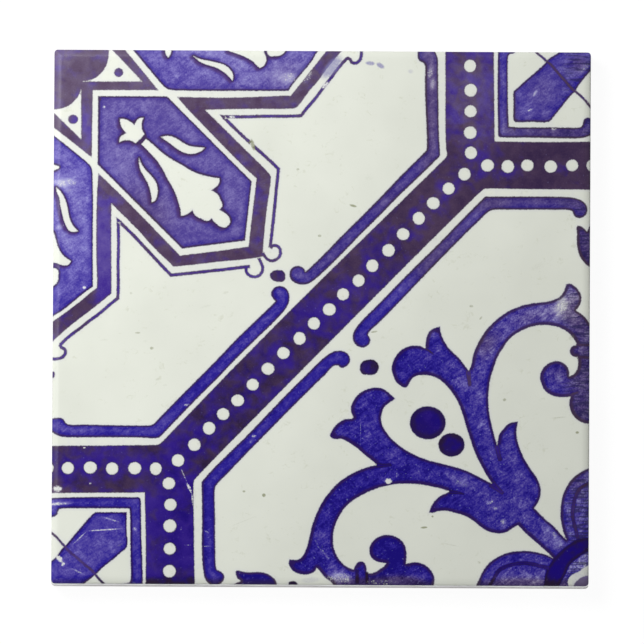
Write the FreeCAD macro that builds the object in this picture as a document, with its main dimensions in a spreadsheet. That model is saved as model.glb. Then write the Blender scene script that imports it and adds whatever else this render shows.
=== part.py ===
import FreeCAD, Part
import os

import Sketcher

# A square wall tile, pressed and fired as one piece. It lies on its back at z = 0, with the decorated face up.
# The origin is the centre of the back. All sizes are in millimetres, and angles in degrees.

# Driving dimensions: the sheet's aliases and what they measure
SIZES = [
    ("tile_side", "140", "outside width and length of the tile"),
    ("thickness", "8", "back lands to decorated face"),
    ("corner_radius", "1", "rounding of the four upright corners, seen from above"),
    ("cushion_width", "2", "how far in from the wall the face starts to fall away"),
    ("cushion_radius", "4.5", "radius of that shallow fall"),
    ("arris_radius", "0.5", "rounding where the fall meets the wall"),
    ("foot_chamfer", "0.5", "small chamfer round the back"),
    ("key_count", "6", "key recesses along each side of the back"),
    ("key_margin", "10", "plain land between the wall and the first recess"),
    ("key_rib", "5", "land between two recesses, at the back plane"),
    ("key_depth", "0.7", "depth of a recess"),
    ("key_corner", "1.5", "rounding of a recess's corners"),
    ("key_draft", "20", "slope of a recess's sides away from upright"),
]
TOOL_CLEARANCE = 1.0  # how far the edge cutter's section stands outside the tile
EDGE_REACH = 0.01  # how near an edge lies to the level that it is picked by

doc = FreeCAD.newDocument("wall_tile")


def make_sheet():
    sheet = doc.addObject("Spreadsheet::Sheet", "sizes")
    for row, (alias, value, meaning) in enumerate(SIZES, start=1):
        sheet.set(f"A{row}", meaning)
        sheet.set(f"B{row}", value)
        sheet.setAlias(f"B{row}", alias)
    doc.recompute()
    return sheet


def origin_plane(body, role):
    return next(feature for feature in body.Origin.OriginFeatures if feature.Role == role)


def new_sketch(body, name, plane):
    sketch = body.newObject("Sketcher::SketchObject", name)
    sketch.AttachmentSupport = [(origin_plane(body, plane), "")]
    sketch.MapMode = "FlatFace"
    return sketch


def bind(sketch, kind, *where, expression):
    """Adds a dimension to a sketch and ties it to the sheet."""
    index = sketch.addConstraint(Sketcher.Constraint(kind, *where))
    sketch.setExpression(f"Constraints[{index}]", expression)


def line(sketch, start, end):
    return sketch.addGeometry(Part.LineSegment(FreeCAD.Vector(*start, 0), FreeCAD.Vector(*end, 0)))


def rounded_square(sketch, side, radius, centre):
    """Four lines with an arc at each corner, at about their final places. Returns the lines and arcs."""
    half, quarter_turn = side / 2, 90
    flat = half - radius
    lines, arcs = [], []
    for step in range(4):
        turn = FreeCAD.Rotation(FreeCAD.Vector(0, 0, 1), quarter_turn * step)
        middle = FreeCAD.Vector(*centre, 0)
        start, end, hub, arc_middle, arc_end = (
            middle + turn.multVec(FreeCAD.Vector(*point, 0))
            for point in (
                (-flat, -half),
                (flat, -half),
                (flat, -flat),
                (flat + radius * 0.5**0.5, -flat - radius * 0.5**0.5),
                (half, -flat),
            )
        )
        lines.append(sketch.addGeometry(Part.LineSegment(start, end)))
        arcs.append(sketch.addGeometry(Part.Arc(end, arc_middle, arc_end)))
    for step in range(4):
        following = lines[(step + 1) % 4]
        sketch.addConstraint(Sketcher.Constraint("Tangent", lines[step], 2, arcs[step], 1))
        sketch.addConstraint(Sketcher.Constraint("Tangent", arcs[step], 2, following, 1))
    for step, direction in enumerate(("Horizontal", "Vertical", "Horizontal", "Vertical")):
        sketch.addConstraint(Sketcher.Constraint(direction, lines[step]))
    for arc in arcs[1:]:
        sketch.addConstraint(Sketcher.Constraint("Equal", arcs[0], arc))
    return lines, arcs


def edges_at(feature, height):
    """Names of the feature's edges that lie wholly at one height."""
    return [
        f"Edge{index}"
        for index, edge in enumerate(feature.Shape.Edges, start=1)
        if abs(edge.BoundBox.ZMin - height) < EDGE_REACH and abs(edge.BoundBox.ZMax - height) < EDGE_REACH
    ]


def pressed_block(body, sheet):
    """The plain slab: a square with rounded upright corners, raised from the back to the face."""
    sketch = new_sketch(body, "slab_outline", "XY_Plane")
    lines, arcs = rounded_square(sketch, sheet.tile_side, sheet.corner_radius, (0, 0))
    half = "sizes.tile_side / 2"
    bind(sketch, "DistanceY", lines[0], 1, -1, 1, sheet.tile_side / 2, expression=half)
    bind(sketch, "DistanceX", -1, 1, lines[1], 1, sheet.tile_side / 2, expression=half)
    bind(sketch, "DistanceY", -1, 1, lines[2], 1, sheet.tile_side / 2, expression=half)
    bind(sketch, "DistanceX", lines[3], 1, -1, 1, sheet.tile_side / 2, expression=half)
    bind(sketch, "Radius", arcs[0], sheet.corner_radius, expression="sizes.corner_radius")
    slab = body.newObject("PartDesign::Pad", "slab")
    slab.Profile = sketch
    slab.setExpression("Length", "sizes.thickness")
    doc.recompute()
    return slab


def cushion_edge(body, sheet):
    """The soft edge of the face: one side's section is cut away along the whole side, then turned to all four."""
    half, top = sheet.tile_side / 2, sheet.thickness
    run, big, small = sheet.cushion_width, sheet.cushion_radius, sheet.arris_radius
    # The fall is an arc that leaves the face level. A smaller arc joins it to the upright wall.
    fall_hub = (half - run, top - big)
    arris_x = half - small
    arris_hub = (arris_x, fall_hub[1] + ((big - small) ** 2 - (arris_x - fall_hub[0]) ** 2) ** 0.5)
    joint = [hub + (arris - hub) * big / (big - small) for hub, arris in zip(fall_hub, arris_hub)]
    sketch = new_sketch(body, "edge_section", "XZ_Plane")
    fall = sketch.addGeometry(arc_between(fall_hub, (fall_hub[0], top), joint))
    arris = sketch.addGeometry(arc_between(arris_hub, joint, (half, arris_hub[1])))
    outer, above = half + TOOL_CLEARANCE, top + TOOL_CLEARANCE
    corners = [(half, arris_hub[1]), (outer, arris_hub[1]), (outer, above), (half - run, above), (half - run, top)]
    sides = [line(sketch, start, end) for start, end in zip(corners, corners[1:])]
    section = [arris, *sides, fall]
    # An arc's end numbers run counter-clockwise, so both arcs start at their lower, outer end.
    sketch.addConstraint(Sketcher.Constraint("Tangent", fall, 1, arris, 2))
    sketch.addConstraint(Sketcher.Constraint("Coincident", arris, 1, sides[0], 1))
    for before, after in zip(sides, sides[1:]):
        sketch.addConstraint(Sketcher.Constraint("Coincident", before, 2, after, 1))
    sketch.addConstraint(Sketcher.Constraint("Coincident", sides[-1], 2, fall, 2))
    for side, direction in zip(sides, ("Horizontal", "Vertical", "Horizontal", "Vertical")):
        sketch.addConstraint(Sketcher.Constraint(direction, side))
    bind(sketch, "DistanceX", -1, 1, fall, 2, half - run, expression="sizes.tile_side / 2 - sizes.cushion_width")
    bind(sketch, "DistanceY", -1, 1, fall, 2, top, expression="sizes.thickness")
    sketch.addConstraint(Sketcher.Constraint("Vertical", fall, 3, fall, 2))
    bind(sketch, "Radius", fall, big, expression="sizes.cushion_radius")
    bind(sketch, "Radius", arris, small, expression="sizes.arris_radius")
    bind(sketch, "DistanceX", -1, 1, arris, 1, half, expression="sizes.tile_side / 2")
    sketch.addConstraint(Sketcher.Constraint("Horizontal", arris, 3, arris, 1))
    sketch.addConstraint(Sketcher.Constraint("Distance", sides[0], TOOL_CLEARANCE))
    sketch.addConstraint(Sketcher.Constraint("Distance", sides[-1], TOOL_CLEARANCE))
    cut = body.newObject("PartDesign::Pocket", "edge_cut")
    cut.Profile = sketch
    cut.Midplane = True
    cut.setExpression("Length", "2 * sizes.tile_side")
    doc.recompute()
    all_round = body.newObject("PartDesign::PolarPattern", "cushion_edge")
    all_round.Originals = [cut]
    all_round.Axis = (origin_plane(body, "Z_Axis"), [""])
    all_round.Angle = 360
    all_round.Occurrences = 4
    body.Tip = all_round
    doc.recompute()
    return all_round


def arc_between(hub, start, end):
    """A circular arc about hub, shorter than half a turn, from start to end."""
    hub, start, end = (FreeCAD.Vector(*point, 0) for point in (hub, start, end))
    between = (start + end) / 2 - hub
    return Part.Arc(start, hub + between.normalize() * (start - hub).Length, end)


def foot(body, base):
    """A small chamfer round the back, as the press leaves it."""
    chamfer = body.newObject("PartDesign::Chamfer", "foot_chamfer")
    chamfer.Base = (base, edges_at(base, 0))
    chamfer.setExpression("Size", "sizes.foot_chamfer")
    doc.recompute()
    return chamfer


def key_recesses(body, sheet):
    """The back's key for mortar: shallow square recesses, with the lands between them left standing."""
    count, rib, margin = sheet.key_count, sheet.key_rib, sheet.key_margin
    side_rule = "(sizes.tile_side - 2 * sizes.key_margin - (sizes.key_count - 1) * sizes.key_rib) / sizes.key_count"
    side = (sheet.tile_side - 2 * margin - (count - 1) * rib) / count
    first = sheet.tile_side / 2 - margin - side / 2
    sketch = new_sketch(body, "recess_outline", "XY_Plane")
    lines, arcs = rounded_square(sketch, side, sheet.key_corner, (-first, -first))
    near = "sizes.tile_side / 2 - sizes.key_margin"
    bind(sketch, "DistanceY", lines[0], 1, -1, 1, first + side / 2, expression=near)
    bind(sketch, "DistanceX", lines[3], 1, -1, 1, first + side / 2, expression=near)
    bind(sketch, "DistanceY", lines[0], 1, lines[2], 1, side, expression=side_rule)
    bind(sketch, "DistanceX", lines[3], 1, lines[1], 1, side, expression=side_rule)
    bind(sketch, "Radius", arcs[0], sheet.key_corner, expression="sizes.key_corner")
    recess = body.newObject("PartDesign::Pocket", "recess")
    recess.Profile = sketch
    recess.Reversed = True
    recess.setExpression("Length", "sizes.key_depth")
    recess.setExpression("TaperAngle", "-sizes.key_draft")
    doc.recompute()
    grid = body.newObject("PartDesign::LinearPattern", "key_recesses")
    grid.Originals = [recess]
    grid.Direction = (origin_plane(body, "X_Axis"), [""])
    grid.Direction2 = (origin_plane(body, "Y_Axis"), [""])
    for suffix in ("", "2"):
        setattr(grid, "Mode" + suffix, "Extent")
        grid.setExpression("Length" + suffix, f"(sizes.key_count - 1) * ({side_rule} + sizes.key_rib)")
        grid.setExpression("Occurrences" + suffix, "sizes.key_count")
    body.Tip = grid
    doc.recompute()
    return grid


def check():
    """Stops with a plain message if any object failed to build."""
    failed = [item.Label for item in doc.Objects if {"Invalid", "Error"} & set(item.State)]
    if failed:
        raise RuntimeError(f"failed to build: {failed}")


def main():
    sheet = make_sheet()
    tile = doc.addObject("PartDesign::Body", "azulejo_tile")
    tile.Label = "azulejo_tile"
    pressed_block(tile, sheet)
    edged = cushion_edge(tile, sheet)
    foot(tile, edged)
    key_recesses(tile, sheet)
    doc.recompute()
    check()
    shape = tile.Shape
    if shape.isNull() or not shape.isValid() or len(shape.Solids) != 1:
        raise RuntimeError("the tile is not one valid solid")
    os.makedirs("parts", exist_ok=True)
    shape.exportStep(f"parts/{tile.Label}.step")
    box = shape.BoundBox
    print(f"{tile.Label}: {box.XLength:.3f} x {box.YLength:.3f} x {box.ZLength:.3f} mm, {shape.Volume:.0f} mm3")


main()
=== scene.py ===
import random
from math import cos, exp, floor, hypot, pi, radians, sin, sqrt, tan

import bmesh
import bpy
from mathutils import Matrix, Vector, geometry, kdtree


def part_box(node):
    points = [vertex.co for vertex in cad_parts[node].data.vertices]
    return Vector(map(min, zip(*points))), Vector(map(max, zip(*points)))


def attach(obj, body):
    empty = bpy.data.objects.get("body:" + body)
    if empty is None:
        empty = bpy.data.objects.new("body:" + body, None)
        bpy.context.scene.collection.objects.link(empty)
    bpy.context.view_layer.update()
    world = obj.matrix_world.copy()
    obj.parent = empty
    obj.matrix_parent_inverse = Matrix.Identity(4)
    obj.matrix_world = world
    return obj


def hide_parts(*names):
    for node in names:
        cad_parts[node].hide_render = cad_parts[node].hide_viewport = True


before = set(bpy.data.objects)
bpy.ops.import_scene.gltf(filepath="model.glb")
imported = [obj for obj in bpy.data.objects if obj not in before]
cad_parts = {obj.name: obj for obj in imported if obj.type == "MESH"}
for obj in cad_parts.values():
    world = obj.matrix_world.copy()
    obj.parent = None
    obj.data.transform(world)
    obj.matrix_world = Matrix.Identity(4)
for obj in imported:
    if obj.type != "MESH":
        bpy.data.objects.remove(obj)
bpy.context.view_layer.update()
tileLow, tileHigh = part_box("azulejo_tile")
mm = 0.001
dice = random.Random(14)
print("frame loaded,", len(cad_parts), "node, tile from", tuple(tileLow), "to", tuple(tileHigh))


# the fired tile, in millimetres and degrees
tile = {
    "side": (tileHigh.x - tileLow.x) / mm,
    "thickness": (tileHigh.z - tileLow.z) / mm,
    "cornerRadius": 1.0,      # plan corners
    "cornerSteps": 6,
    "cushionWidth": 2.0,      # how far in from the wall the face starts to roll down
    "cushionRadius": 4.5,
    "arrisRadius": 0.5,
    "rollSteps": (0.07, 0.18, 0.3125, 0.6, 1.0, 1.5, 2.0),
    "footChamfer": 0.5,
    "keyCount": 6,            # recesses along each side of the back
    "keyMargin": 10.0,
    "keyRib": 5.0,
    "keyDepth": 0.7,
    "keyCorner": 1.5,
    "keyCornerSteps": 4,
    "keyDraft": 20.0,
    "backLevel": 0.05,        # faces lower than this are the back
    "recessShare": 0.8,       # a recess has more than this share of its square
    "mergeGap": 0.004,        # points closer than this become one
    "smoothAngle": 32.0,
}
half = tile["side"] / 2

# how the ornament lies on the tile: it was stencilled a little crooked
layout = {
    "turn": 0.52,             # degrees, counter-clockwise
    "nudge": (0.24, 0.24),    # of a reflected stencil
    "stretch": (0.9993, 1.0007),
    "lean": (0.0010, 0.0019),  # how far x leans with y, and y with x
    "shift": (0.13, -0.40),
    "step": 0.5,              # spacing of points along an outline
    "handle": 2.5614,         # shortens the handles of a round knot, as Blender's own are
    "handleLimit": 3,         # the longest a handle gets, in lengths of the span on its other side
    "tiny": 0.001,            # stands in for a length of nought
    "mitre": 0.45,            # keeps a sharp bend of a line from running out to a spike
    "dotSteps": 12,           # fewest points round a dot
    "cutGap": 0.00001,        # points closer than this are one when the face is cut
    "sampleStep": 0.12,       # spacing of samples along the edge of a coat
    "offset": 0.3,            # points either side of an outline
    "offsetGap": 0.2,         # how near these may come to an edge
    "fillStep": 1.1,          # points elsewhere
    "fillJitter": 0.3,
    "fillGap": 0.45,
    "wallGap": 0.05,
    "reach": 1.6,             # distances past this don't matter
    "onEdge": 0.02,           # closer than this lies on the edge
    "shadeLean": (-0.6, -0.46),  # the dark shading slips out past the cut-outs,
    "shadeSteps": (0.5, 0.75, 1.0),  # laid on in these shares of the way
    "shadeReach": 2.4,
    "rimLean": (-0.15, -0.1),  # outlines are a little heavier on the left and below
    "plainRim": 0.3,          # where a stencil gives none
    "plainFlecks": 0.5,
    "lowShadeBand": (-67.6, -69.6),  # painted shade: ink deeper and browner where the face rolls down along the lower edge, away from the light
    "lowShadeInk": 0.25,
    "lowShadeBrown": 0.7,
}

# A knot is (x, y) on a round stretch and (x, y, 0) at a sharp corner, in millimetres from the middle.
# fold: drawn on one side of the ornament's diagonal and closed by its reflection
# twin: reflected as a second copy, moved by the values given
medallion = {
    "field": {"coat": "wash", "ink": 0.52, "brown": 0.74, "rim": 0.6, "flecks": 0.44, "knots": [
        (-58.77, 58.25, 0), (-40.75, 58.25, 0), (-18.5, 36.0, 0), (-20.15, 20.45, 0), (-36.6, 18.3, 0),
        (-58.77, 40.3, 0)]},
    "edgeField": {"coat": "wash", "ink": 0.49, "brown": 0.62, "rim": 0.55, "flecks": 0.55, "knots": [
        (-51.0, 72, 0), (-49.4, 70), (-42.15, 61.35), (-41.25, 60.5), (-40.3, 60.0), (-36, 59.75),
        (-20, 59.72), (-9.1, 59.72, 0), (-7.5, 62.05), (-5.55, 64.45), (-3.1, 67.5), (-1.65, 69.95),
        (-0.5, 72, 0)]},
    "leftField": {"coat": "wash", "ink": 0.49, "brown": 0.55, "rim": 0.55, "flecks": 0.55, "knots": [
        (-72.8, 49.9, 0), (-70.8, 48.35), (-62, 41.3), (-61.1, 40.45), (-60.4, 39.6), (-60.0, 35.5),
        (-59.85, 19), (-59.75, 8.25, 0), (-62.05, 6.6), (-64.4, 4.6), (-67.45, 2.15), (-69.85, 0.6),
        (-71.9, -0.6, 0)]},
    "cornerFlower": {"coat": "dark", "ink": 0.56, "brown": 0.75, "knots": [
        (-73, 73, 0), (-56, 73, 0), (-56.05, 70), (-56.2, 68), (-56.9, 65.85), (-58.15, 64.1),
        (-59.85, 62.8), (-61.4, 62.3), (-62.75, 62.1, 0), (-63.1, 60.5), (-63.55, 58.9), (-64.8, 57.1),
        (-66.5, 55.65), (-68.7, 54.88), (-70.75, 54.72), (-73.8, 54.6, 0)]},
    "starStrap": {"coat": "dark", "ink": 0.57, "brown": 0.85, "rim": 0.42, "knots": [
        (-63.25, 62.05, 0), (-47.3, 62.1, 0), (-54.8, 70, 0), (-56.6, 72, 0), (-53.1, 72, 0),
        (-51.5, 70.05, 0), (-43.05, 59.85, 0), (-60.15, 59.78, 0), (-60.3, 42.1, 0), (-70.8, 50.4, 0),
        (-72.8, 51.9, 0), (-72.6, 55.9, 0), (-70.5, 54.05, 0), (-63.1, 46.9, 0)]},
    # up the right side and out along the top, back inside, then round the lower half, cut a little wider
    "outerStrap": {"coat": "dark", "ink": 0.65, "brown": 0.8, "rim": 0.42, "knots": [
        (-15.5, 16.25, 0), (-15.35, 19.5), (-14.6, 28), (-13.55, 37.25), (-14.05, 38.15), (-21.0, 45.1),
        (-30.85, 54.75, 0), (-20, 55.0), (-8.4, 55.1), (-7.0, 55.4), (-6.15, 56.3), (-3.65, 59.75),
        (-1.6, 62.1), (1.15, 65.9), (4.6, 70.1), (6.2, 72, 0), (2.0, 72, 0), (0.5, 70), (-2.75, 65.8),
        (-8.45, 58.55, 0), (-15, 58.3), (-25, 57.95), (-38.1, 58.1, 0), (-36.5, 56.15), (-31.3, 50.7),
        (-20.4, 39.65), (-17.25, 36.75, 0), (-18.15, 29), (-19.25, 18.9, 0), (-26, 17.9), (-31, 17.25),
        (-37.1, 16.5, 0), (-49.8, 29.5), (-58.55, 38.05, 0), (-58.85, 33), (-59.0, 22), (-58.9, 15),
        (-58.7, 10), (-58.75, 7.95, 0), (-60, 7.0), (-64.95, 2.9), (-69.85, -0.65), (-72, -2.0, 0),
        (-72, -7.8, 0), (-70, -5.95), (-65, -1.55), (-59.9, 2.4), (-54.9, 6.5, 0), (-54.9, 10),
        (-55.05, 20), (-55.1, 30.05, 0), (-47.1, 22.05), (-45.2, 19.85), (-38.75, 13.55, 0), (-31, 14.4),
        (-26, 15.0), (-20.6, 15.5)]},
    "cornerDot": {"coat": "dark", "ink": 0.6, "brown": 0.6, "centre": (-53.45, 64.45), "size": (1.2, 1.2)},
    "leftCornerDot": {"coat": "dark", "ink": 0.6, "brown": 0.6,
        "centre": (-65.25, 52.1), "size": (1.35, 1.25)},
    "curlDot": {"coat": "dark", "ink": 0.85, "brown": 0.75, "knots": [
        (-13.65, 11.3), (-13.0, 12.4), (-11.5, 12.8), (-10.1, 12.5), (-9.55, 11.3), (-9.8, 10.05),
        (-11.2, 9.65), (-12.7, 10.0)]},
    "pinstripe": {"coat": "line", "ink": 0.66, "brown": 0.4, "width": (0.85, 0.9), "twin": (-0.1, 0.25),
        "knots": [
        (9.8, 71), (9.9, 69.2), (9.6, 68.1), (8.95, 67.35), (8.1, 67.1), (7.35, 67.4), (7.0, 68.1),
        (6.45, 68.4), (5.7, 67.85), (4.05, 66.0), (1.95, 63.15), (0.2, 60.9), (-2, 57.9), (-4.6, 54.8),
        (-5.7, 53.3, 0), (-8, 53.15), (-15, 53.1), (-20, 52.95), (-26.2, 52.95, 0), (-24.9, 51.75),
        (-22, 48.9), (-18.5, 45.7), (-12.9, 40.6), (-11.55, 39.3, 0), (-11.65, 38.3), (-12.15, 33),
        (-12.9, 25), (-13.45, 19.8), (-13.55, 18.7)]},
    "upperCurl": {"coat": "line", "ink": 0.66, "brown": 0.4, "width": (0.85, 0.8), "knots": [
        (-13.45, 18.4), (-13.1, 19.05), (-12.3, 19.2), (-11.3, 18.75), (-10.9, 17.7), (-11.05, 16.5),
        (-11.9, 15.6), (-13, 15.2), (-14.05, 15.45), (-14.85, 16.2), (-15.5, 17.3)]},
    "lowerCurl": {"coat": "line", "ink": 0.66, "brown": 0.4, "width": (0.8, 0.85), "knots": [
        (-16.5, 15.9), (-15.9, 14.55), (-15.5, 13.3), (-15.8, 12.0), (-16.85, 11.1), (-18, 11.0),
        (-19.2, 11.55), (-19.8, 12.45), (-19.65, 13.5)]},
}

# white flowers and leaves cut out of the medallion, past which the dark shading slipped
flowers = {
    "bud": {"fold": True, "knots": [
        (-53.0, 52.4, 0), (-51.25, 52.05), (-50.05, 51.35), (-49.25, 50.65, 0), (-48.7, 51.7),
        (-48.0, 52.4), (-46.9, 52.55, 0), (-47.35, 51.2), (-47.3, 49.7), (-46.6, 48.3, 0), (-47.5, 47.2)]},
    "bell": {"knots": [
        (-46.75, 46.4), (-46.15, 47.05, 0), (-44.3, 45.5), (-42.0, 43.45), (-39.65, 41.8), (-36.95, 40.3),
        (-34, 38.6), (-31, 37.5), (-28.6, 37.0), (-27, 36.8, 0), (-26.9, 36.15), (-27.4, 34.95),
        (-28.3, 34.15), (-29.1, 33.6, 0), (-28.05, 33.1), (-27.2, 32.3), (-26.75, 31.3), (-26.3, 30.4),
        (-26.2, 29.5), (-26.85, 28.5, 0), (-25.9, 27.95), (-24.85, 27.15), (-24.2, 26.2), (-24.1, 25.2),
        (-24.6, 24.45), (-25.4, 23.95), (-26.4, 24.05), (-27.35, 24.65), (-28.35, 25.55), (-28.95, 26.3, 0),
        (-29.7, 25.65), (-30.65, 25.75), (-31.65, 26.2), (-32.65, 26.65), (-33.5, 27.5), (-33.9, 28.5, 0),
        (-34.55, 27.95), (-35.35, 27.4), (-36.35, 27.0), (-36.9, 26.95, 0), (-37.0, 28.2), (-37.6, 30.6),
        (-38.75, 33.6), (-40.45, 36.6), (-41.9, 39.35), (-43.6, 41.75), (-45.7, 44.0), (-47.35, 45.7, 0)]},
    "leftLeaf": {"knots": [
        (-48.0, 42.1, 0), (-47.25, 40.3), (-46.1, 38.75), (-44.6, 37.15), (-43.45, 35.4), (-43.05, 33.5),
        (-43.3, 31.85), (-43.75, 30.9), (-44.6, 30.45, 0), (-44.6, 31.4), (-44.9, 33.1), (-45.45, 35.05),
        (-46.45, 36.9), (-47.4, 38.6), (-47.9, 40.25)]},
    "sideLeaf": {"knots": [
        (-42.35, 47.55, 0), (-41.05, 47.85), (-39.4, 47.65), (-37.6, 46.75), (-36, 45.75), (-34.4, 45.1),
        (-32.65, 44.9), (-30.85, 44.75, 0), (-31.55, 44.05), (-32.5, 43.55), (-33.9, 43.2), (-35.6, 43.3),
        (-37.4, 44.05), (-39.2, 45.35), (-40.6, 46.4)]},
    "edgeTip": {"twin": (0.12, 0), "knots": [
        (-41.3, 72, 0), (-41.3, 70), (-41, 69), (-40.55, 68.4), (-40.1, 69), (-39.8, 70), (-39.8, 72, 0)]},
    "leftEdgeLeaf": {"knots": [
        (-69.6, 34.35, 0), (-68.5, 33.3), (-67.4, 31.6), (-66.65, 29.45), (-66.15, 26.75), (-65.3, 24.6),
        (-63.7, 22.75, 0), (-65.85, 22.8), (-67.05, 24.6), (-67.85, 27.1), (-68.35, 29.4), (-68.75, 31.7),
        (-69.4, 33.25)]},
    "edgeLeaf": {"knots": [
        (-34, 68.85, 0), (-32.2, 68.05), (-30, 67.6), (-27.75, 67.1), (-25.7, 66.4), (-24.2, 65.15),
        (-23.55, 63.65), (-23.7, 62.45, 0), (-24.65, 63.45), (-26.2, 64.8), (-28.2, 65.9), (-30.45, 66.55),
        (-32.05, 67.25), (-33.3, 68.2)]},
    "edgeBell": {"knots": [
        (-27, 72.3, 0), (-24.75, 70.35), (-22.25, 69.4), (-20.1, 68.5), (-18.4, 67.45), (-17.25, 66.3),
        (-16.65, 65.75, 0), (-15.6, 66.35), (-15.05, 67.3), (-15, 68.7), (-15.5, 69.9), (-15.2, 72, 0)]},
    "leftBell": {"knots": [
        (-72, 25.2, 0), (-70.3, 22.9), (-69.5, 20.4), (-68.75, 18.15), (-67.6, 16.45), (-66.35, 15.4),
        (-65.55, 14.9, 0), (-66.15, 14.05), (-67.2, 13.85), (-68.4, 14.05), (-69.55, 14.5),
        (-72, 14.5, 0)]},
    "edgeLobe": {"twin": (0.05, -0.55), "knots": [
        (-14.6, 72, 0), (-14.65, 69.8), (-14.05, 68.95), (-12.7, 68.9), (-11.25, 69.1), (-10.2, 69.95),
        (-9.5, 72, 0)]},
}
for stencil in flowers.values():
    stencil.update(coat="bare", shaded=True)

bands = {
    "upperBand": {"coat": "wash", "ink": 0.66, "brown": 0.6, "rim": 0.6, "flecks": 0.55, "knots": [
        (24.8, 72, 0), (24.6, 70), (24.55, 69), (24.95, 67.8), (25.95, 67.3), (26.45, 66.6), (26.5, 62),
        (26.75, 55), (27.05, 49), (27.1, 45.2), (27.0, 44.4), (26.2, 43.5), (20, 37.2), (15, 31.9),
        (10, 26.75), (5, 21.75), (0, 16.5), (-3.1, 13.5), (-4.4, 12.3, 0), (-4.7, 13.2), (-5.5, 13.7),
        (-6.7, 13.9), (-7.9, 13.3), (-8.5, 12), (-8.4, 10.9), (-7.6, 9.8), (-6.4, 9.2), (-5, 9),
        (-3.5, 9.25), (-2.3, 9.95), (0, 11.95), (5, 16.9), (10, 22.15), (15, 27.15), (19.9, 32.25),
        (24.9, 37.1), (30.1, 42.25), (30.6, 42.85), (30.6, 43.8), (30.35, 47.5), (30.1, 57), (29.95, 66),
        (29.85, 68.6), (29.3, 70), (28.2, 72, 0)]},
    "leftBand": {"coat": "wash", "ink": 0.66, "brown": 0.4, "rim": 0.6, "flecks": 0.55, "knots": [
        (-71.3, -26.3, 0), (-69.3, -26.15), (-68.3, -26.1), (-67.2, -26.45), (-66.7, -27.3),
        (-65.95, -27.8), (-61.3, -27.85), (-54.3, -28), (-48.3, -28.05), (-44.5, -27.95), (-43.75, -27.7),
        (-42.95, -26.85), (-36.8, -20.45), (-31.7, -15.25), (-26.7, -10.1), (-21.85, -4.95), (-16.65, 0.1),
        (-13.6, 3.1), (-12.1, 4.6, 0), (-12.5, 5.0), (-12.95, 5.5), (-13.3, 6.4), (-12.95, 7.6),
        (-11.85, 8.5), (-10.65, 8.6), (-9.25, 7.85), (-8.5, 6.4), (-8.5, 4.85), (-9, 3.3), (-9.8, 2.1),
        (-11.8, -0.15), (-16.8, -5.1), (-21.95, -10.2), (-26.75, -15.3), (-31.75, -20.35), (-36.6, -25.4),
        (-41.55, -30.65), (-42.1, -31.15), (-43, -31.4), (-46.7, -31.25), (-56.2, -31.2), (-65.2, -31.2),
        (-67.8, -31.05), (-69.3, -30.45), (-71.2, -29, 0)]},
    "lowerBand": {"coat": "wash", "ink": 0.65, "brown": 0.5, "rim": 0.6, "flecks": 0.55, "knots": [
        (42.4, 32.27, 0), (50, 32.27), (60, 32.3), (63.5, 32.2), (65.65, 32.0), (67.3, 31.45),
        (68.55, 30.5), (69.15, 29.2), (68.95, 27.9), (68.2, 27.0), (67.2, 26.65), (66.1, 26.95),
        (65.45, 27.65), (65.3, 28.3), (64.6, 28.7), (60, 28.82), (50, 28.8), (44.6, 28.7), (43.65, 28.4),
        (40.05, 25.05), (35.25, 20.25), (30.4, 15.25), (25.45, 10.05), (20.35, 4.65), (15.15, -0.75),
        (12.45, -3.3), (12.05, -4.05, 0), (12.5, -4.7), (12.7, -5.6), (12.2, -6.8), (11.2, -7.4),
        (9.9, -7.35), (8.7, -6.5), (8.1, -5.1), (8.25, -3.6), (9, -2.2), (10.5, -0.35), (14.95, 4.15),
        (19.9, 9.35), (24.9, 14.45), (30, 19.5), (35, 24.7), (40, 29.85)]},
    "bottomBand": {"coat": "wash", "ink": 0.67, "brown": 0.4, "rim": 0.6, "flecks": 0.55, "knots": [
        (-31.1, -42.85, 0), (-30.9, -50.6), (-30.88, -60.6), (-30.7, -64.1), (-30.45, -66.25),
        (-30.05, -67.95), (-29.1, -69.25), (-27.7, -69.85), (-26.2, -69.5), (-25.3, -68.75),
        (-24.95, -67.7), (-25.35, -66.65), (-26.2, -66.1), (-26.85, -65.75), (-27.15, -65.05),
        (-27.35, -60.5), (-27.5, -50.5), (-27.6, -45), (-27.4, -44), (-24.1, -40.35), (-19.45, -35.4),
        (-14.6, -30.4), (-9.6, -25.25), (-4.4, -19.95), (0.9, -14.7), (3.5, -12.2), (4.4, -12.2, 0),
        (5.15, -12.8), (6.05, -12.65), (7.05, -11.9), (7.45, -10.9), (7.35, -9.9), (6.7, -8.95),
        (5.5, -8.35), (4.05, -8.3), (2.6, -8.75), (0.6, -10.15), (-3.9, -14.55), (-9, -19.65),
        (-13.9, -24.85), (-18.8, -30.05), (-23.95, -35.15), (-29, -40.3)]},
    "dotBand": {"coat": "dark", "ink": 0.86, "brown": 0.46, "knots": [
        (-5.2, 5.3), (32.15, 42.5), (32.35, 43.0), (32.2, 44.5), (31.95, 50), (31.9, 60), (31.8, 70),
        (31.8, 72, 0), (44.5, 72, 0), (44.5, 70), (44.65, 60), (44.85, 46.7, 0), (50, 46.65), (60, 46.6),
        (70, 46.75), (72, 46.75, 0), (72, 34.15, 0), (70, 34.15), (55, 34.2), (43, 34.3), (42, 34.1),
        (4.1, -4.05), (-33.0, -42.4), (-33.15, -43.4), (-32.95, -55.4), (-32.6, -70.4), (-32.5, -72.5, 0),
        (-45.45, -72.5, 0), (-45.5, -70.6), (-45.5, -60.6), (-45.75, -50.6), (-45.9, -45.65, 0),
        (-58.9, -45.75), (-70.9, -45.8, 0), (-71.2, -33.45, 0), (-59.2, -33.35), (-49.2, -33.2),
        (-43.7, -33.1), (-42.25, -32.95), (-41.6, -32.45), (-23.5, -13.45)]},
}
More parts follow.
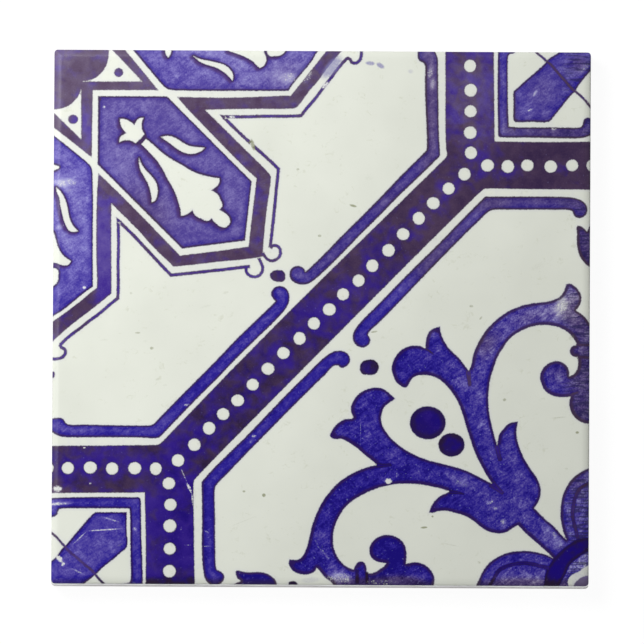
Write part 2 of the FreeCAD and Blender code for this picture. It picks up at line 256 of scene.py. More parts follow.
# white dots left bare along the dark band: down the top arm and the diagonal, out along the right arm,
# then the other end; the ink is bluer close to them on the diagonal, and browner in the upright arms
pearls = {
    "radius": 1.6,
    "unevenness": (0.95, 1.05),
    "reach": 2.8,
    "fade": (44, 52),         # how far up or down the diagonal gives way to the arms
    "away": 0.2,              # more brown on the diagonal,
    "near": -0.6,             # and less of it beside a dot
    "nearInArm": 0.5,
    "centres": [
        (38.3, 66.5), (38.5, 60.1), (38.5, 54.6), (38.45, 49), (38.65, 43.7), (37, 38.1), (32.9, 34.3),
        (28.9, 30.45), (25.15, 26.45), (21.1, 22.3), (17.3, 18.05), (13.1, 14), (9.55, 10.1), (5.5, 6.5),
        (1.95, 2.5), (43, 40.4), (48.3, 40.15), (53.4, 40.45), (59.5, 40.15), (65.1, 40.5), (70.5, 40.5),
        (-2.05, -1.15), (-5.75, -5.1), (-9.95, -8.95), (-13.95, -13.1), (-17.9, -17.25), (-21.8, -21.4),
        (-25.55, -25), (-29.2, -28.7), (-33, -33.05), (-37.25, -37.15), (-39.6, -43.2), (-39.15, -48.75),
        (-39.25, -54.3), (-39.25, -60.25), (-39.3, -66.15), (-43.05, -39.35), (-48.5, -39.25),
        (-54.4, -39.35), (-60.1, -39.1), (-65.95, -39.25), (-71.3, -39.25)],
}
for number, centre in enumerate(pearls["centres"]):
    size = [pearls["radius"] * dice.uniform(*pearls["unevenness"]) for _ in range(2)]
    bands[f"pearl{number}"] = {"coat": "bare", "centre": centre, "size": size}

cornerBlocks = {
    "strap": {"coat": "wash", "ink": 0.68, "brown": 0.3, "rim": 0.6, "flecks": 0.55, "knots": [
        (45.6, 72, 0), (45.55, 70), (45.5, 60), (45.7, 50), (45.85, 48.0), (46.3, 47.75), (55, 47.7),
        (64, 47.55), (67.5, 47.65), (69, 48.0), (70, 48.5), (72, 49.3, 0), (72, 52.9, 0), (70, 52.9),
        (68.7, 53.0), (68.0, 52.4), (67.75, 51.2), (67.45, 50.7), (66.5, 50.45), (60, 50.45), (50, 50.5),
        (48.5, 50.65, 0), (48.25, 58), (48.3, 69.2), (48.7, 69.65), (49.5, 69.75), (50.2, 70.4),
        (50.4, 72, 0)]},
    "lowerStrap": {"coat": "wash", "ink": 0.68, "brown": 0.15, "rim": 0.6, "flecks": 0.55, "knots": [
        (-71.2, -47.15, 0), (-69.2, -47.05), (-59.2, -46.8), (-49.2, -46.85), (-47.15, -46.95),
        (-46.9, -47.45), (-46.65, -56.2), (-46.3, -65.2), (-46.2, -68.7), (-46.45, -70.2), (-47, -71.2),
        (-48, -73.2, 0), (-51.6, -73.3, 0), (-51.6, -71.3), (-51.65, -70.05), (-51.1, -69.4),
        (-49.95, -69.2), (-49.5, -68.8), (-49.35, -67.7), (-49.5, -61.2), (-49.7, -51.2),
        (-49.85, -49.85, 0), (-57.1, -49.8), (-68.1, -50.05), (-68.45, -50.6), (-68.55, -51.3),
        (-69.3, -51.95), (-71.1, -52.2, 0)]},
    "diamond": {"coat": "wash", "ink": 0.58, "brown": 0.35, "rim": 0.6, "flecks": 0.6, "knots": [
        (49.6, 59.8, 0), (50.1, 60.25), (54, 63.75), (57.8, 67.2), (58.2, 67.75, 0), (58.6, 68.3, 0),
        (60.2, 69.4), (61.2, 70), (63, 72, 0), (72, 72, 0), (72, 68, 0), (70, 65.6), (68.1, 63.3),
        (66.4, 61), (66.1, 60.4, 0), (65.6, 59.75, 0), (64, 58), (62, 55.4), (60.3, 53.3), (59.4, 52.15),
        (58.4, 51.75), (55, 51.85), (50.1, 51.85), (49.7, 52.3), (49.65, 55)]},
    "leftDiamond": {"coat": "wash", "ink": 0.61, "brown": 0.12, "rim": 0.6, "flecks": 0.6, "knots": [
        (-58.6, -50.75, 0), (-59.2, -51.1), (-62.7, -55), (-65.95, -58.95), (-66.4, -59.45, 0),
        (-66.9, -59.9, 0), (-68.1, -61.45), (-68.75, -62.4), (-70.7, -64.25), (-72, -73, 0), (-65, -73, 0),
        (-63.85, -71.4), (-61.55, -69.55), (-59.3, -67.8), (-58.8, -67.4, 0), (-58.2, -66.8, 0),
        (-56.5, -65.15), (-53.9, -63.1), (-51.9, -61.3), (-50.7, -60.35), (-50.3, -59.4), (-50.45, -56),
        (-50.5, -50.75, 0)]},
    "crossLine": {"coat": "line", "ink": 0.72, "brown": 0.45, "width": (0.65, 0.65), "twin": (-0.25, -0.35),
        "knots": [
        (54.6, 71.4), (55.9, 69.85), (57.25, 68.75), (58.35, 67.75), (59.6, 66.7), (61.3, 64.7),
        (63.2, 62.6), (64.9, 60.6), (66.0, 59.75), (68.1, 57.85), (69.85, 55.85), (71.3, 54.4)]},
}

acanthus = {
    # from the fork round the upper branch to the stem, then back round the lower branch, cut again
    "scroll": {"coat": "wash", "ink": 0.645, "brown": 0.14, "rim": 0.95, "flecks": 1.0, "knots": [
        (45.0, -43.2, 0), (44.1, -42.1), (42.4, -39.3), (40.4, -35.4), (38.3, -29.5), (36.2, -23),
        (35.05, -20.6), (33.3, -18.15), (31.65, -16.45), (29.95, -15.3), (28, -14.7), (26.2, -14.6),
        (24.6, -14.95), (23.5, -15.8), (22.85, -16.95), (22.3, -17.9, 0), (21.6, -17.9), (20.65, -17.4),
        (19.45, -16.35), (18.75, -14.85), (18.3, -13), (18.55, -11.4), (19.35, -9.65), (20.55, -8.3),
        (22.3, -7.25), (24.4, -6.85), (26.05, -7.1), (27.1, -7.65, 0), (27.1, -6.3), (27.4, -4.6),
        (28, -3.3), (29.2, -2.35), (30.85, -1.85, 0), (31.05, -3.2), (31.6, -4.85), (32.75, -6.9),
        (34.2, -8.5), (36.05, -10.3), (37.45, -12.15), (38.4, -13.4, 0), (38.95, -12.1), (39.55, -9.3),
        (40.35, -7.05), (41.35, -5.15), (42.75, -2.95), (44.5, -1), (45.9, 0.25), (47.85, 1.7),
        (50.35, 3.0), (53.2, 3.95), (56.5, 4.5), (59.15, 4.85), (60.9, 5.45), (62.2, 6.2), (63.1, 7.45),
        (63.7, 9.35, 0), (64.7, 9.5), (65.85, 8.85), (67.0, 7.7), (67.65, 6.3), (67.6, 4.65), (67.05, 3.4),
        (66.3, 2.5, 0), (67.6, 1.65), (68.9, 0.5), (69.8, -0.8), (70.8, -2.6), (73, -6, 0), (73, -26, 0),
        (70, -27.1), (68.9, -27.1), (67.2, -26.45), (65.8, -25.1), (64.85, -23.1), (64.65, -21.55),
        (65.05, -20.1, 0), (63.8, -20.25), (62, -20.25), (60.05, -19.75), (58.35, -18.5), (57.4, -16.8),
        (57, -15.05), (57.45, -13.35), (58.6, -11.9), (60.2, -11), (61.95, -10.85), (63.35, -11.5),
        (64.35, -12.7), (64.7, -13.8), (64.6, -14.75, 0), (65.5, -14.45), (66.4, -13.45), (66.85, -12.3),
        (66.95, -10.95), (66.95, -9.7, 0), (66, -9.7), (65.05, -9.15), (64.75, -8), (65.35, -6.95),
        (66.65, -6.55, 0), (66.15, -5.6), (65.2, -4.25), (63.9, -3.05), (62.1, -2.1), (59.95, -1.55),
        (57.5, -1.4), (55.15, -1.75), (53.05, -2.45), (51.05, -3.5), (49.1, -5), (47.45, -7.3),
        (46.05, -9.6), (44.95, -12.7), (44.1, -15.5), (43.7, -18.5), (43.6, -21.5), (43.95, -25),
        (44.6, -28), (45.35, -31), (45.95, -33.1, 0), (46.15, -31.6), (46.5, -30), (47.6, -28.55),
        (49, -27.2), (51.35, -26.65, 0), (51.1, -28.2), (51, -30.1), (51.35, -32.05), (52.2, -34.5),
        (53.35, -37), (54.85, -39.3), (56.35, -41.45), (57.15, -43.4), (57.4, -45.35), (56.95, -47.25),
        (56.15, -48.75), (55.7, -49.35, 0), (58.95, -52.5), (60.85, -54.05), (62.55, -55.95), (64.2, -57.6),
        (66.2, -59.6, 0), (62.8, -63.9, 0), (60.6, -62.3), (59.5, -61.2), (56.45, -58.45), (53.35, -55.75),
        (51.5, -53.85, 0), (50.2, -54.55), (49.4, -55.1), (48.2, -55.75), (46.7, -56), (45.05, -55.8),
        (43.45, -55.3), (42.3, -54.65), (39.85, -52.75), (38.7, -51.95), (36.95, -51.15), (35, -50.65),
        (33.5, -50.25), (32, -50.1), (30.45, -50.3), (29.2, -50.65), (28.25, -50.55, 0), (28.75, -49.15),
        (29.5, -47.85), (30.6, -46.6), (32, -45.8), (33.75, -45, 0), (32, -44.5), (29.5, -43.9),
        (27, -43.4), (24.5, -43.1), (22, -43.1), (19.5, -43.2), (17.5, -43.55), (15.55, -44.05),
        (13.6, -44.75), (11.65, -45.6), (10, -46.5), (8.25, -47.65), (6.75, -49), (5.5, -50.65),
        (4.5, -52.4), (3.85, -54.1), (3.4, -56.05), (3.3, -58), (3.45, -59.5), (3.95, -61.1), (4.65, -62.5),
        (5.75, -63.85), (7, -64.85), (8, -65.35), (8.75, -65.5, 0), (9.2, -64.4), (9.85, -63.6),
        (10.75, -63.4), (11.6, -63.85), (12.05, -64.9), (12.2, -66.5, 0), (12.8, -66.55), (13.75, -66.4),
        (14.8, -65.95), (15.75, -65.3), (16.7, -64.6), (17.2, -63.9, 0), (15.5, -63.65), (14.25, -63.2),
        (13.25, -62.25), (12.75, -60.75), (13, -59.2), (14, -57.8), (15.5, -56.85), (17.25, -56.45),
        (18.8, -56.6), (20.15, -57.15), (21.25, -58), (22, -59.1), (22.4, -60.55), (22.5, -62),
        (22.35, -64, 0), (24.5, -63.6), (26, -63.75), (27.55, -64.45), (28.6, -65.35), (29.45, -66.65),
        (29.85, -68.2), (29.65, -69.5), (29, -72, 0), (4.5, -72, 0), (3.2, -69.2), (1.25, -67.65),
        (0.35, -66.6), (-0.45, -65.6), (-0.95, -65.15, 0), (-1.25, -65.9), (-2.4, -66.65), (-4, -66.95),
        (-5.5, -66.7), (-6.85, -66.1), (-7.8, -65.05), (-8.25, -63.8), (-8, -62.95, 0), (-7.25, -63.05),
        (-6.05, -63.05), (-5.2, -62.7), (-4.55, -62), (-3.9, -60.65), (-3.3, -58.95), (-2.8, -56.8),
        (-2.3, -54.5), (-1.65, -52.5), (-0.9, -50.5), (0, -48.65), (1, -47), (2.25, -45.4), (3.5, -43.9),
        (5, -42.5), (6.5, -41.4), (8.5, -40.25), (10.5, -39.35), (12.5, -38.65), (14.75, -38.2, 0),
        (12.5, -36.4), (11, -35.2), (9.5, -33.85), (8, -32.8), (6.5, -31.9), (5.25, -31.4), (3.9, -31.45),
        (2.85, -31.25), (2.25, -30.55, 0), (3, -28.9), (3.9, -27.75), (5.2, -26.7), (6.5, -26.15),
        (8, -26.05), (8.4, -25.75, 0), (7.9, -24.6), (7.8, -22.8), (8.6, -21), (10, -19.4), (12, -18.35),
        (14.3, -17.9), (16.4, -18.4), (17.8, -19.4), (19.3, -20.9, 0), (17.75, -21.9), (16.5, -23.05),
        (15.85, -24.6), (15.65, -26), (16.1, -28), (17.35, -30.05), (19.25, -32.1), (21.75, -34),
        (24.1, -35.3), (27.05, -36.55), (30.05, -37.4), (34.1, -38.4), (37.7, -39.5), (41.15, -41.15)]},
    "edgeLeaf": {"coat": "wash", "ink": 0.72, "brown": 0.75, "rim": 0.8, "flecks": 0.8, "knots": [
        (66.3, 24.3), (66.7, 24.7), (67.35, 24.6), (68.35, 24.0), (69.1, 23.2, 0), (69.7, 24.6), (70.5, 26),
        (72, 26, 0), (72, 14, 0), (69.75, 14.0), (69.1, 14.3), (68.0, 15.5), (67.05, 17.1), (66.5, 19.35),
        (66.4, 21.5), (66.4, 23.2)]},
    "bottomLeaf": {"coat": "wash", "ink": 0.88, "brown": 0.35, "rim": 0.8, "flecks": 0.8, "knots": [
        (-21.7, -65.9), (-22.15, -66.25), (-22.0, -66.85), (-21.6, -67.9), (-20.75, -68.6, 0),
        (-22, -69.25), (-23.3, -70), (-23.3, -72, 0), (-11.2, -72, 0), (-11.35, -69), (-11.65, -68.4),
        (-12.85, -67.25), (-14.45, -66.5), (-16.75, -66.3), (-18.85, -66.4), (-20.5, -66.1)]},
    "lowerDot": {"coat": "dark", "ink": 0.95, "brown": 0.45, "rim": 0.7, "knots": [
        (10.0, -12.6), (10.5, -11.3), (11.8, -10.65), (13.6, -10.7), (14.85, -11.8), (14.95, -12.95),
        (14.1, -14.35), (12.0, -14.6), (10.6, -14.3)]},
    "bigDot": {"coat": "dark", "ink": 1.0, "brown": -0.1, "rim": 1.5,
        "centre": (27.8, -27.1), "size": (4.7, 4.35)},
    "smallDot": {"coat": "dark", "ink": 1.05, "brown": 0.4, "rim": 1.4,
        "centre": (34.05, -32.85), "size": (3.45, 3.1)},
    "bottomDab": {"coat": "dark", "ink": 0.95, "brown": 0.6, "centre": (-7.1, -69.3), "size": (1.2, 0.7)},
    "leftDab": {"coat": "dark", "ink": 0.7, "brown": 0.6, "centre": (-70.0, -14.8), "size": (0.5, 0.9)},
}

# dark veins where its branches and curls part: ink, brown, width at the start and the end, knots
veins = {
    "forkVein": (0.9, 0.2, (2.0, 0.7), [(44.5, -42.9), (46, -44.2), (47.6, -45.5)]),
    "upperVein": (0.85, 0.3, (1.3, 0.8), [(38.25, -13.4), (38.5, -15.5), (38.75, -17.5)]),
    "lowerVein": (0.95, 0.2, (1.3, 0.6), [(14.4, -38.2), (16.2, -38.3), (18.4, -38.1)]),
    "upperLeafVein": (0.9, 0.2, (1.2, 0.9), [(45.8, -32.9), (46.3, -35), (46.8, -37)]),
    "lowerLeafVein": (0.95, 0.15, (1.2, 0.3), [(33.4, -45.1), (35.4, -45.3), (37.4, -45.7)]),
    "upperSpurVein": (0.8, 0.3, (0.7, 0.2), [(27, -7.6), (28, -8.2), (29.2, -9.2)]),
    "rightNubTop": (0.9, 0.3, (0.7, 0.5), [(66.4, -6.6), (68.5, -6.55), (71, -6.5)]),
    "rightNubLow": (0.9, 0.3, (0.8, 0.6), [(66.7, -9.7), (69, -9.8), (71, -9.9)]),
    "lowerNubLeft": (0.95, 0.3, (0.8, 0.8), [(9.6, -65.6), (9.65, -67.5), (9.7, -69.2)]),
    "lowerNubRight": (0.95, 0.3, (0.8, 0.6), [(12.1, -66.2), (12.2, -67.8), (12.2, -69.2)]),
    "stubVein": (0.85, 0.3, (0.9, 0.3), [(64.9, -20), (66, -19.3), (67, -19)]),
}
for name, (ink, brown, width, knots) in veins.items():
    acanthus[name] = {"coat": "line", "ink": ink, "brown": brown, "width": width, "knots": knots}

rosette = {
    "petal": {"coat": "wash", "ink": 0.58, "brown": 0.25, "rim": 0.8, "flecks": 1.0, "twin": (1.05, 0.85),
        "knots": [
        (72, -37.85, 0), (70, -38.75), (67.6, -39.95), (65.4, -41.8), (63.9, -44.1), (62.9, -46.8),
        (62.55, -49.4), (62.6, -52), (63.1, -54.6), (63.8, -56.8), (64.8, -58.6), (66, -59.6, 0),
        (72, -58, 0)]},
    "heart": {"coat": "wash", "ink": 0.40, "brown": 0.4, "rim": 0.1, "flecks": 1.5, "fold": True, "knots": [
        (74, -74, 0), (74, -58.2, 0), (70, -59.2), (66.9, -60.9), (65, -62.2), (63.9, -63.5)]},
    "heartCore": {"coat": "dark", "ink": 0.46, "brown": 0.6, "rim": 0.1, "knots": [
        (74, -74, 0), (74, -66, 0), (70, -66.85), (68.6, -67.2), (67.5, -67.8), (66.5, -68.8),
        (66.1, -69.6), (66.8, -72, 0)]},
    "ring": {"coat": "dark", "ink": 1.1, "brown": 0.0, "rim": 0.9, "knots": [
        (63.2, -60.15, 0), (64.85, -58.9), (66.75, -57.7), (68.4, -57.2), (70, -56.95), (74, -56.5, 0),
        (74, -59.2, 0), (70, -60.45), (67.65, -61.9), (65.7, -63.35), (64.75, -64.55), (63.95, -66.5),
        (62.6, -69), (61.4, -72.6, 0), (57.9, -72.7, 0), (58.45, -68.7), (58.65, -67.1), (59.15, -65.45),
        (60.3, -63.5), (61.9, -61.4)]},
    "crescent": {"coat": "bare", "knots": [
        (74, -61.8, 0), (70, -64.15), (68.45, -65.1), (67.4, -65.9), (65.8, -66.7), (64.75, -67.8),
        (64.6, -68.7), (64.8, -69.6), (65.5, -72, 0), (66.8, -72, 0), (66.1, -69.6), (66.5, -68.8),
        (67.5, -67.8), (68.6, -67.2), (70, -66.85), (74, -66, 0)]},
    "petalLine": {"coat": "line", "ink": 0.92, "brown": 0.15, "width": (0.8, 0.8), "twin": (0.95, 0.85),
        "knots": [
        (71.5, -41.7), (70, -42.65), (67.4, -44.4), (66.4, -46.5), (65.9, -48.8), (65.75, -50.8),
        (66.1, -53.2), (66.6, -55.1), (67.1, -57.2)]},
}

# where the colour ran deeper or thinner: x, y, spread along x and y, more ink, more brown
pools = [
    (14, -24, 9, 9, 0.1, 0), (5, -45, 12, 12, 0.2, 0), (18, -62, 9, 9, 0.22, 0), (-4, -64, 5, 5, 0.2, 0),
    (24, -64, 8, 8, 0.15, 0), (22, -12, 5, 5, 0.16, 0), (33, -48, 5, 5, 0.2, 0), (42, -30, 5, 9, -0.01, 0),
    (49, -42, 6, 6, 0.02, 0), (39, -17, 4, 6, -0.13, 0.1), (62, 4, 7, 6, -0.26, 0.5),
    (48, -4, 6, 6, -0.12, 0.2), (68, -12, 5, 16, 0, 0.5), (60, -14, 5, 5, -0.05, 0.5),
    (14, -69, 9, 3, 0, 0.6), (67, -48, 6, 10, -0.03, 0.1), (50, -66, 9, 5, 0.1, 0),
    (59, -57, 5, 5, -0.2, 0), (47, -50, 5, 4, -0.04, 0), (24, -40, 6, 4, 0.2, -0.1),
    (4, -68.5, 4, 2.5, -0.35, 0.2), (-66, 6, 8, 8, 0.03, -0.5), (-67, 14, 6, 5, -0.08, 0),
    (-68, 34, 4, 4, -0.12, 0), (-33, 24, 4, 4, 0.04, 0), (-27, 25, 3, 3, 0.14, 0),
    (-54, 40, 6, 10, -0.04, 0), (-9, 63, 6, 5, -0.08, 0.15), (-27, 68, 6, 3, -0.12, 0),
    (28, 58, 3, 18, -0.06, 0.7), (-55, -29, 18, 3, -0.12, 0), (56, 31, 16, 3, -0.05, 0.2),
    (-30.5, -55, 3, 16, 0.06, 0), (58, 49.5, 16, 2.5, -0.12, 0.4), (47, 60, 2.5, 14, -0.08, 0.35),
    (-60, -47.5, 14, 2.5, -0.04, 0), (57, 60, 8, 9, 0, 0.35), (39, 60, 9, 15, -0.3, -0.16),
    (62, 40.5, 18, 8, -0.03, 0.95), (40, 44, 6, 6, -0.06, -0.2), (-60, -38, 11, 5, -0.03, -0.2),
    (-56, -43.5, 9, 3, 0.03, 0.4), (-42, -40, 5, 5, 0.02, -0.25), (-37.5, -58, 6, 14, 0.06, -0.85),
    (10, 8, 9, 9, 0, -0.05), (30, 30, 12, 12, -0.1, 0.25), (-26, -27, 13, 13, 0.05, 0),
    (-62, 60, 6, 6, 0, 0.15), (-62, 50, 2.5, 8, 0, -0.7), (-59.5, 65, 4, 4, 0.05, 0.1),
    (-66, 68, 7, 2.5, -0.06, 0), (-68, 47, 4, 3, 0.1, 0), (-56, 8, 3, 4, 0.08, 0),
    (-57, 17, 3, 13, -0.1, -1.4), (-64, 2, 7, 6, 0.12, 0.55), (-47, 26, 7, 7, 0.06, 0.3),
    (-26, 57, 14, 3, 0, 0.2), (-16, 28, 3, 10, 0.02, -0.14), (-28, 16, 12, 3, 0.05, -0.1),
    (-48, -58, 3, 13, -0.14, -0.3), (2, 17, 13, 13, -0.08, 0.25), (-18, -3, 5, 5, -0.08, 0),
    (22, 7, 4, 4, -0.08, 0), (33, 18, 10, 10, -0.04, 0.3), (44, -6, 5, 5, -0.07, 0.4),
    (54, 0, 6, 4, -0.13, 0.5), (64.5, 6, 3, 3, -0.15, 0), (66, 2, 4, 5, 0, 0.4), (67, -25, 4, 4, 0, 0.4),
    (11, -4, 4, 4, 0.08, 0), (36, -42, 4, 4, -0.12, 0), (53, -68.8, 10, 2, -0.25, 0.5),
    (22, -68.8, 5, 2, -0.3, 0.6), (-69, -47.5, 3, 3, -0.24, 0), (-24, 65.5, 5, 3, -0.1, 0),
    (-66, 24, 5, 10, -0.05, 0), (69, -8, 5, 55, -0.1, 0.4), (-69.5, -42, 2.5, 16, 0, 0.4),
    (43, 51, 2.5, 5, 0, -0.45), (-2, 2, 4, 4, 0, -0.45), (14, 17, 3, 3, 0, -0.3), (9, 1, 3, 3, 0, -0.15),
    (15, 8, 3, 3, 0, -0.35), (11, 9, 3, 3, 0, 0.45), (-37, -33, 2.5, 2.5, 0, -0.35),
    (-64, -43.5, 3, 3, 0, -0.3), (-57, -39, 3, 3, 0, -0.3), (-45.5, -52, 2, 5, 0, -0.35),
    (-34, -44.5, 2, 3, 0, -0.35), (47, 37.5, 4, 3, 0, -0.2), (63, 39, 4, 4, 0, -0.6),
    (-64, -1, 5, 3, 0, -0.3), (-12.5, -4.5, 3, 3, 0, 0.3), (-6.5, -8.5, 3, 3, 0, 0.3),
    (-13.5, -16.5, 3, 3, 0, 0.3), (-23, -25, 3, 3, 0, 0.3), (-43, -43, 3, 3, 0, 0.45),
    (67, 67, 3, 3, 0, 0.5), (49.5, 54, 1.5, 5, 0, 0.4), (28, 13, 6, 6, 0, 0.3), (44, 30, 5, 3, 0, 0.3),
    (17, 31, 7, 7, 0, 0.2), (42, -8, 3, 6, 0, 0.4), (28, -5, 3, 4, 0, 0.35), (13, -12.5, 3, 3, 0, 0.15),
    (66, -42, 3, 4, 0, 0.35),
]

# wear, kiln specks and smudges: x, y, length, width, angle, strength; two rubs by the left edge are also a
# painted highlight
marks = {
    "rub": [
        (-9, 63.3, 6, 3.2, 0, 0.36), (-14, 63.6, 9, 3, 0, 0.2), (-4, 63.3, 4.5, 1.6, 50, 0.4),
        (27.8, 64.6, 3.6, 1.6, 80, 0.4), (28.6, 61.8, 3, 1.4, 80, 0.4), (62.4, 3.6, 6, 3.6, 75, 0.5),
        (68, 66, 4, 2, 45, 0.3), (55.3, 59.4, 2.2, 0.7, 60, 0.5), (54, 55, 1.8, 0.6, 20, 0.45),
        # on the next line, the rubs at (-67, 35.5) and (-66, 33.5) by the left edge are partly wear and
        # partly a painted highlight: a whitish smear on the side that faces the light
        (60.3, 50, 1.6, 0.7, 0, 0.5), (-67, 35.5, 7, 2.6, 5, 0.42), (-66, 33.5, 4, 1.2, 10, 0.25),
        (-68.5, 24, 3, 1.6, 20, 0.35), (-68, -48.6, 6, 0.9, 2, 0.55), (-69.1, -38.5, 11, 1.3, 90, 0.2),
        (-68.6, -44.7, 2.6, 1.7, 0, 0.8), (-68, -63, 2.2, 1.4, 130, 0.85), (-67, -64.4, 1.2, 0.9, 60, 0.75),
        (-62.6, -57.4, 5.2, 0.42, 44, 0.5), (-56.3, -55.4, 9.5, 0.42, 4, 0.62),
        (-54.6, -52.7, 5.5, 0.5, -17, 0.42), (-63.2, -66.3, 4.5, 0.5, -25, 0.4),
        (-35.7, -41, 4.4, 0.4, -66, 0.5), (-34.3, -44.3, 3.2, 0.75, -63, 0.7),
        (-33.4, -47.5, 4, 0.5, -84, 0.6), (17.6, -42.4, 1.9, 1.5, 0, 1.0), (19.8, -40.8, 1.6, 0.5, 90, 0.5),
        (47.6, -52.8, 1.6, 1.4, 90, 0.5), (44.2, -47.9, 2.2, 0.8, 30, 0.45),
        (45.6, -49.5, 1.3, 0.9, 0, 0.45), (36.8, -43, 5, 2.2, -20, 0.3), (61, -56.2, 2, 1.1, -40, 0.45),
        (-62, 8, 1.0, 0.8, 0, 0.8), (62.4, -15.6, 1.6, 0.9, -30, 0.35), (-0.5, -59.5, 5, 0.6, -60, 0.3),
        (1.2, -61.5, 4, 0.5, -55, 0.35), (-29.7, -55.8, 1.6, 0.5, -30, 0.45),
        (-29.5, -59.6, 3, 0.35, 0, 0.35), (-34.5, -59.3, 2, 0.35, 0, 0.4), (-36.3, -55, 1.3, 0.5, 80, 0.4),
        (-48.4, -55.2, 1.3, 1.1, 0, 0.45), (-18.5, 45.6, 1.8, 1.4, 45, 0.85), (-23.7, 52.9, 2, 0.8, 0, 0.6),
        (0.5, 61.3, 2.4, 1.2, 50, 0.7), (-60.1, -43.2, 0.8, 0.6, 0, 0.6), (-61.7, -33.9, 0.8, 0.4, 0, 0.7),
        (-57.2, 55.4, 0.9, 0.7, 0, 0.5), (-35, -22.6, 1.8, 0.7, 10, 0.5), (5, -67.8, 8, 3, 0, 0.4),
        (16, -68.8, 10, 1.8, 0, 0.3), (-0.8, -56.5, 3, 2.5, 0, 0.16), (0, -59, 5, 3, -60, 0.18),
        (-17.5, -30.7, 1.4, 0.8, 0, 0.5), (-18.3, -32.3, 1.2, 0.7, 60, 0.4),
        (10.3, -29.5, 9, 0.3, 90, 0.3)],
    "stain": [
        (8, 29.7, 2.2, 0.7, -15, 0.8), (-0.7, 21.8, 1.1, 0.8, 0, 0.6), (13.7, -3.3, 2, 0.6, 10, 0.6),
        (39, 3.5, 1.2, 0.9, 0, 0.5), (-6.5, 39.2, 1, 0.8, 0, 0.5), (-18.3, 45.6, 3.4, 1.1, 105, 0.8),
        (-18.9, 46.4, 1.6, 0.6, 30, 0.7), (27, -54.5, 1.9, 0.55, 5, 0.95), (29.2, -51.6, 0.6, 0.6, 0, 0.8),
        (47.8, -21, 1.1, 0.9, 0, 0.6), (66.8, -29.5, 1, 0.8, 0, 0.75), (-14.8, -46.2, 1, 1, 0, 0.9),
        (-20, -45.2, 0.9, 0.7, 0, 0.6), (-44.3, -7.8, 1.1, 0.9, 0, 0.6), (-48, -3.8, 1.8, 0.6, 0, 0.5),
        (-49.8, 6.6, 0.9, 0.8, 0, 0.4), (65.2, -4.6, 2.2, 1.6, 40, 0.4), (41.5, 0.4, 1.3, 0.6, 50, 0.5),
        (-52.2, -59.3, 1.8, 0.8, 25, 0.35), (-10, -48.3, 1.6, 0.6, 0, 0.25), (64, -39, 1.1, 0.8, 0, 0.35),
        (41.4, -63.6, 1.2, 0.9, -30, 0.4), (-18, -63.4, 1.2, 1.2, 0, 0.2), (-25.1, 6.8, 2, 1.2, 10, 0.32),
        (-30.3, 3.2, 4, 1, 15, 0.26), (-42.7, -15.9, 1.6, 1, 20, 0.34), (-40.8, -17.5, 1.4, 0.9, 0, 0.3),
        (-46, -6, 1.5, 1, 0, 0.28), (-56.7, -5.7, 3, 1, 5, 0.26), (62, -25.6, 5, 0.4, 5, 0.4),
        (34, -59, 6, 0.4, -12, 0.34), (-20, -53, 9, 0.4, 22, 0.3), (56, 14, 5, 2.4, 30, 0.25),
        (12, 37, 3, 2, 0, 0.24)],
    "tint": [
        (12.2, 67.1, 2.6, 1.2, -5, 0.8), (14.9, 66.5, 2.4, 1.3, -30, 0.85), (2.2, 66.0, 8, 3.2, 50, 0.75),
        (68.6, -68.4, 8, 8, 0, 0.36), (-2.5, -68.3, 6, 1.8, 5, 0.35), (22.8, 65, 1.8, 1.4, 0, 0.4),
        (-6, 65.5, 5, 2.4, 40, 0.35)],
}
markGrid = {
    "across": 5,              # points across a mark, and the most along it
    "mostAlong": 24,
    "reach": 1.3,             # how far they go, in sizes of the mark
    "gap": 0.08,              # how near they may come to an edge, mm
    "full": 2.0,              # a mark is whole in its middle and falls away outwards
    "fall": 1.6,
}


def reflected(knot, shift=(0, 0)):
    turn = radians(2 * layout["turn"])
    x = sin(turn) * knot[0] - cos(turn) * knot[1] + layout["nudge"][0] + shift[0]
    y = -cos(turn) * knot[0] - sin(turn) * knot[1] + layout["nudge"][1] + shift[1]
    return (x, y, *knot[2:])


def folded(knots):
    other = [reflected(knot) for knot in knots]
    onAxis = [((a[0] + b[0]) / 2, (a[1] + b[1]) / 2, *a[2:]) for a, b in zip(knots, other)]
    return [onAxis[0], *knots[1:-1], onAxis[-1], *reversed(other[1:-1])]


# the two handles of a knot on a round stretch, as a curve's automatic ones lie
def autoHandles(before, knot, after):
    a = Vector((knot[0] - before[0], knot[1] - before[1]))
    b = Vector((after[0] - knot[0], after[1] - knot[1]))
    along = a.normalized() + b.normalized()
    along /= layout["handle"] * max(along.length, layout["tiny"])
    here, limit = Vector(knot[:2]), layout["handleLimit"]
    return here - along * min(a.length, limit * b.length), here + along * min(b.length, limit * a.length)


def drawCurve(knots, closed=True):
    count = len(knots)
    spans = count if closed else count - 1
    points = []
    for i in range(spans):
        start, end = knots[i], knots[(i + 1) % count]
        p0, p3 = Vector(start[:2]), Vector(end[:2])
        cornerStart = len(start) > 2 or (not closed and i == 0)
        cornerEnd = len(end) > 2 or (not closed and i == spans - 1)
        p1 = p0.lerp(p3, 1 / 3) if cornerStart else autoHandles(knots[i - 1], start, end)[1]
        p2 = p3.lerp(p0, 1 / 3) if cornerEnd else autoHandles(start, end, knots[(i + 2) % count])[0]
        steps = max(1, round((p3 - p0).length / layout["step"]))
        for k in range(steps):
            t = k / steps
            u = 1 - t
            points.append(p0 * u**3 + p1 * (3 * u * u * t) + p2 * (3 * u * t * t) + p3 * t**3)
    if not closed:
        points.append(Vector(knots[-1][:2]))
    return points


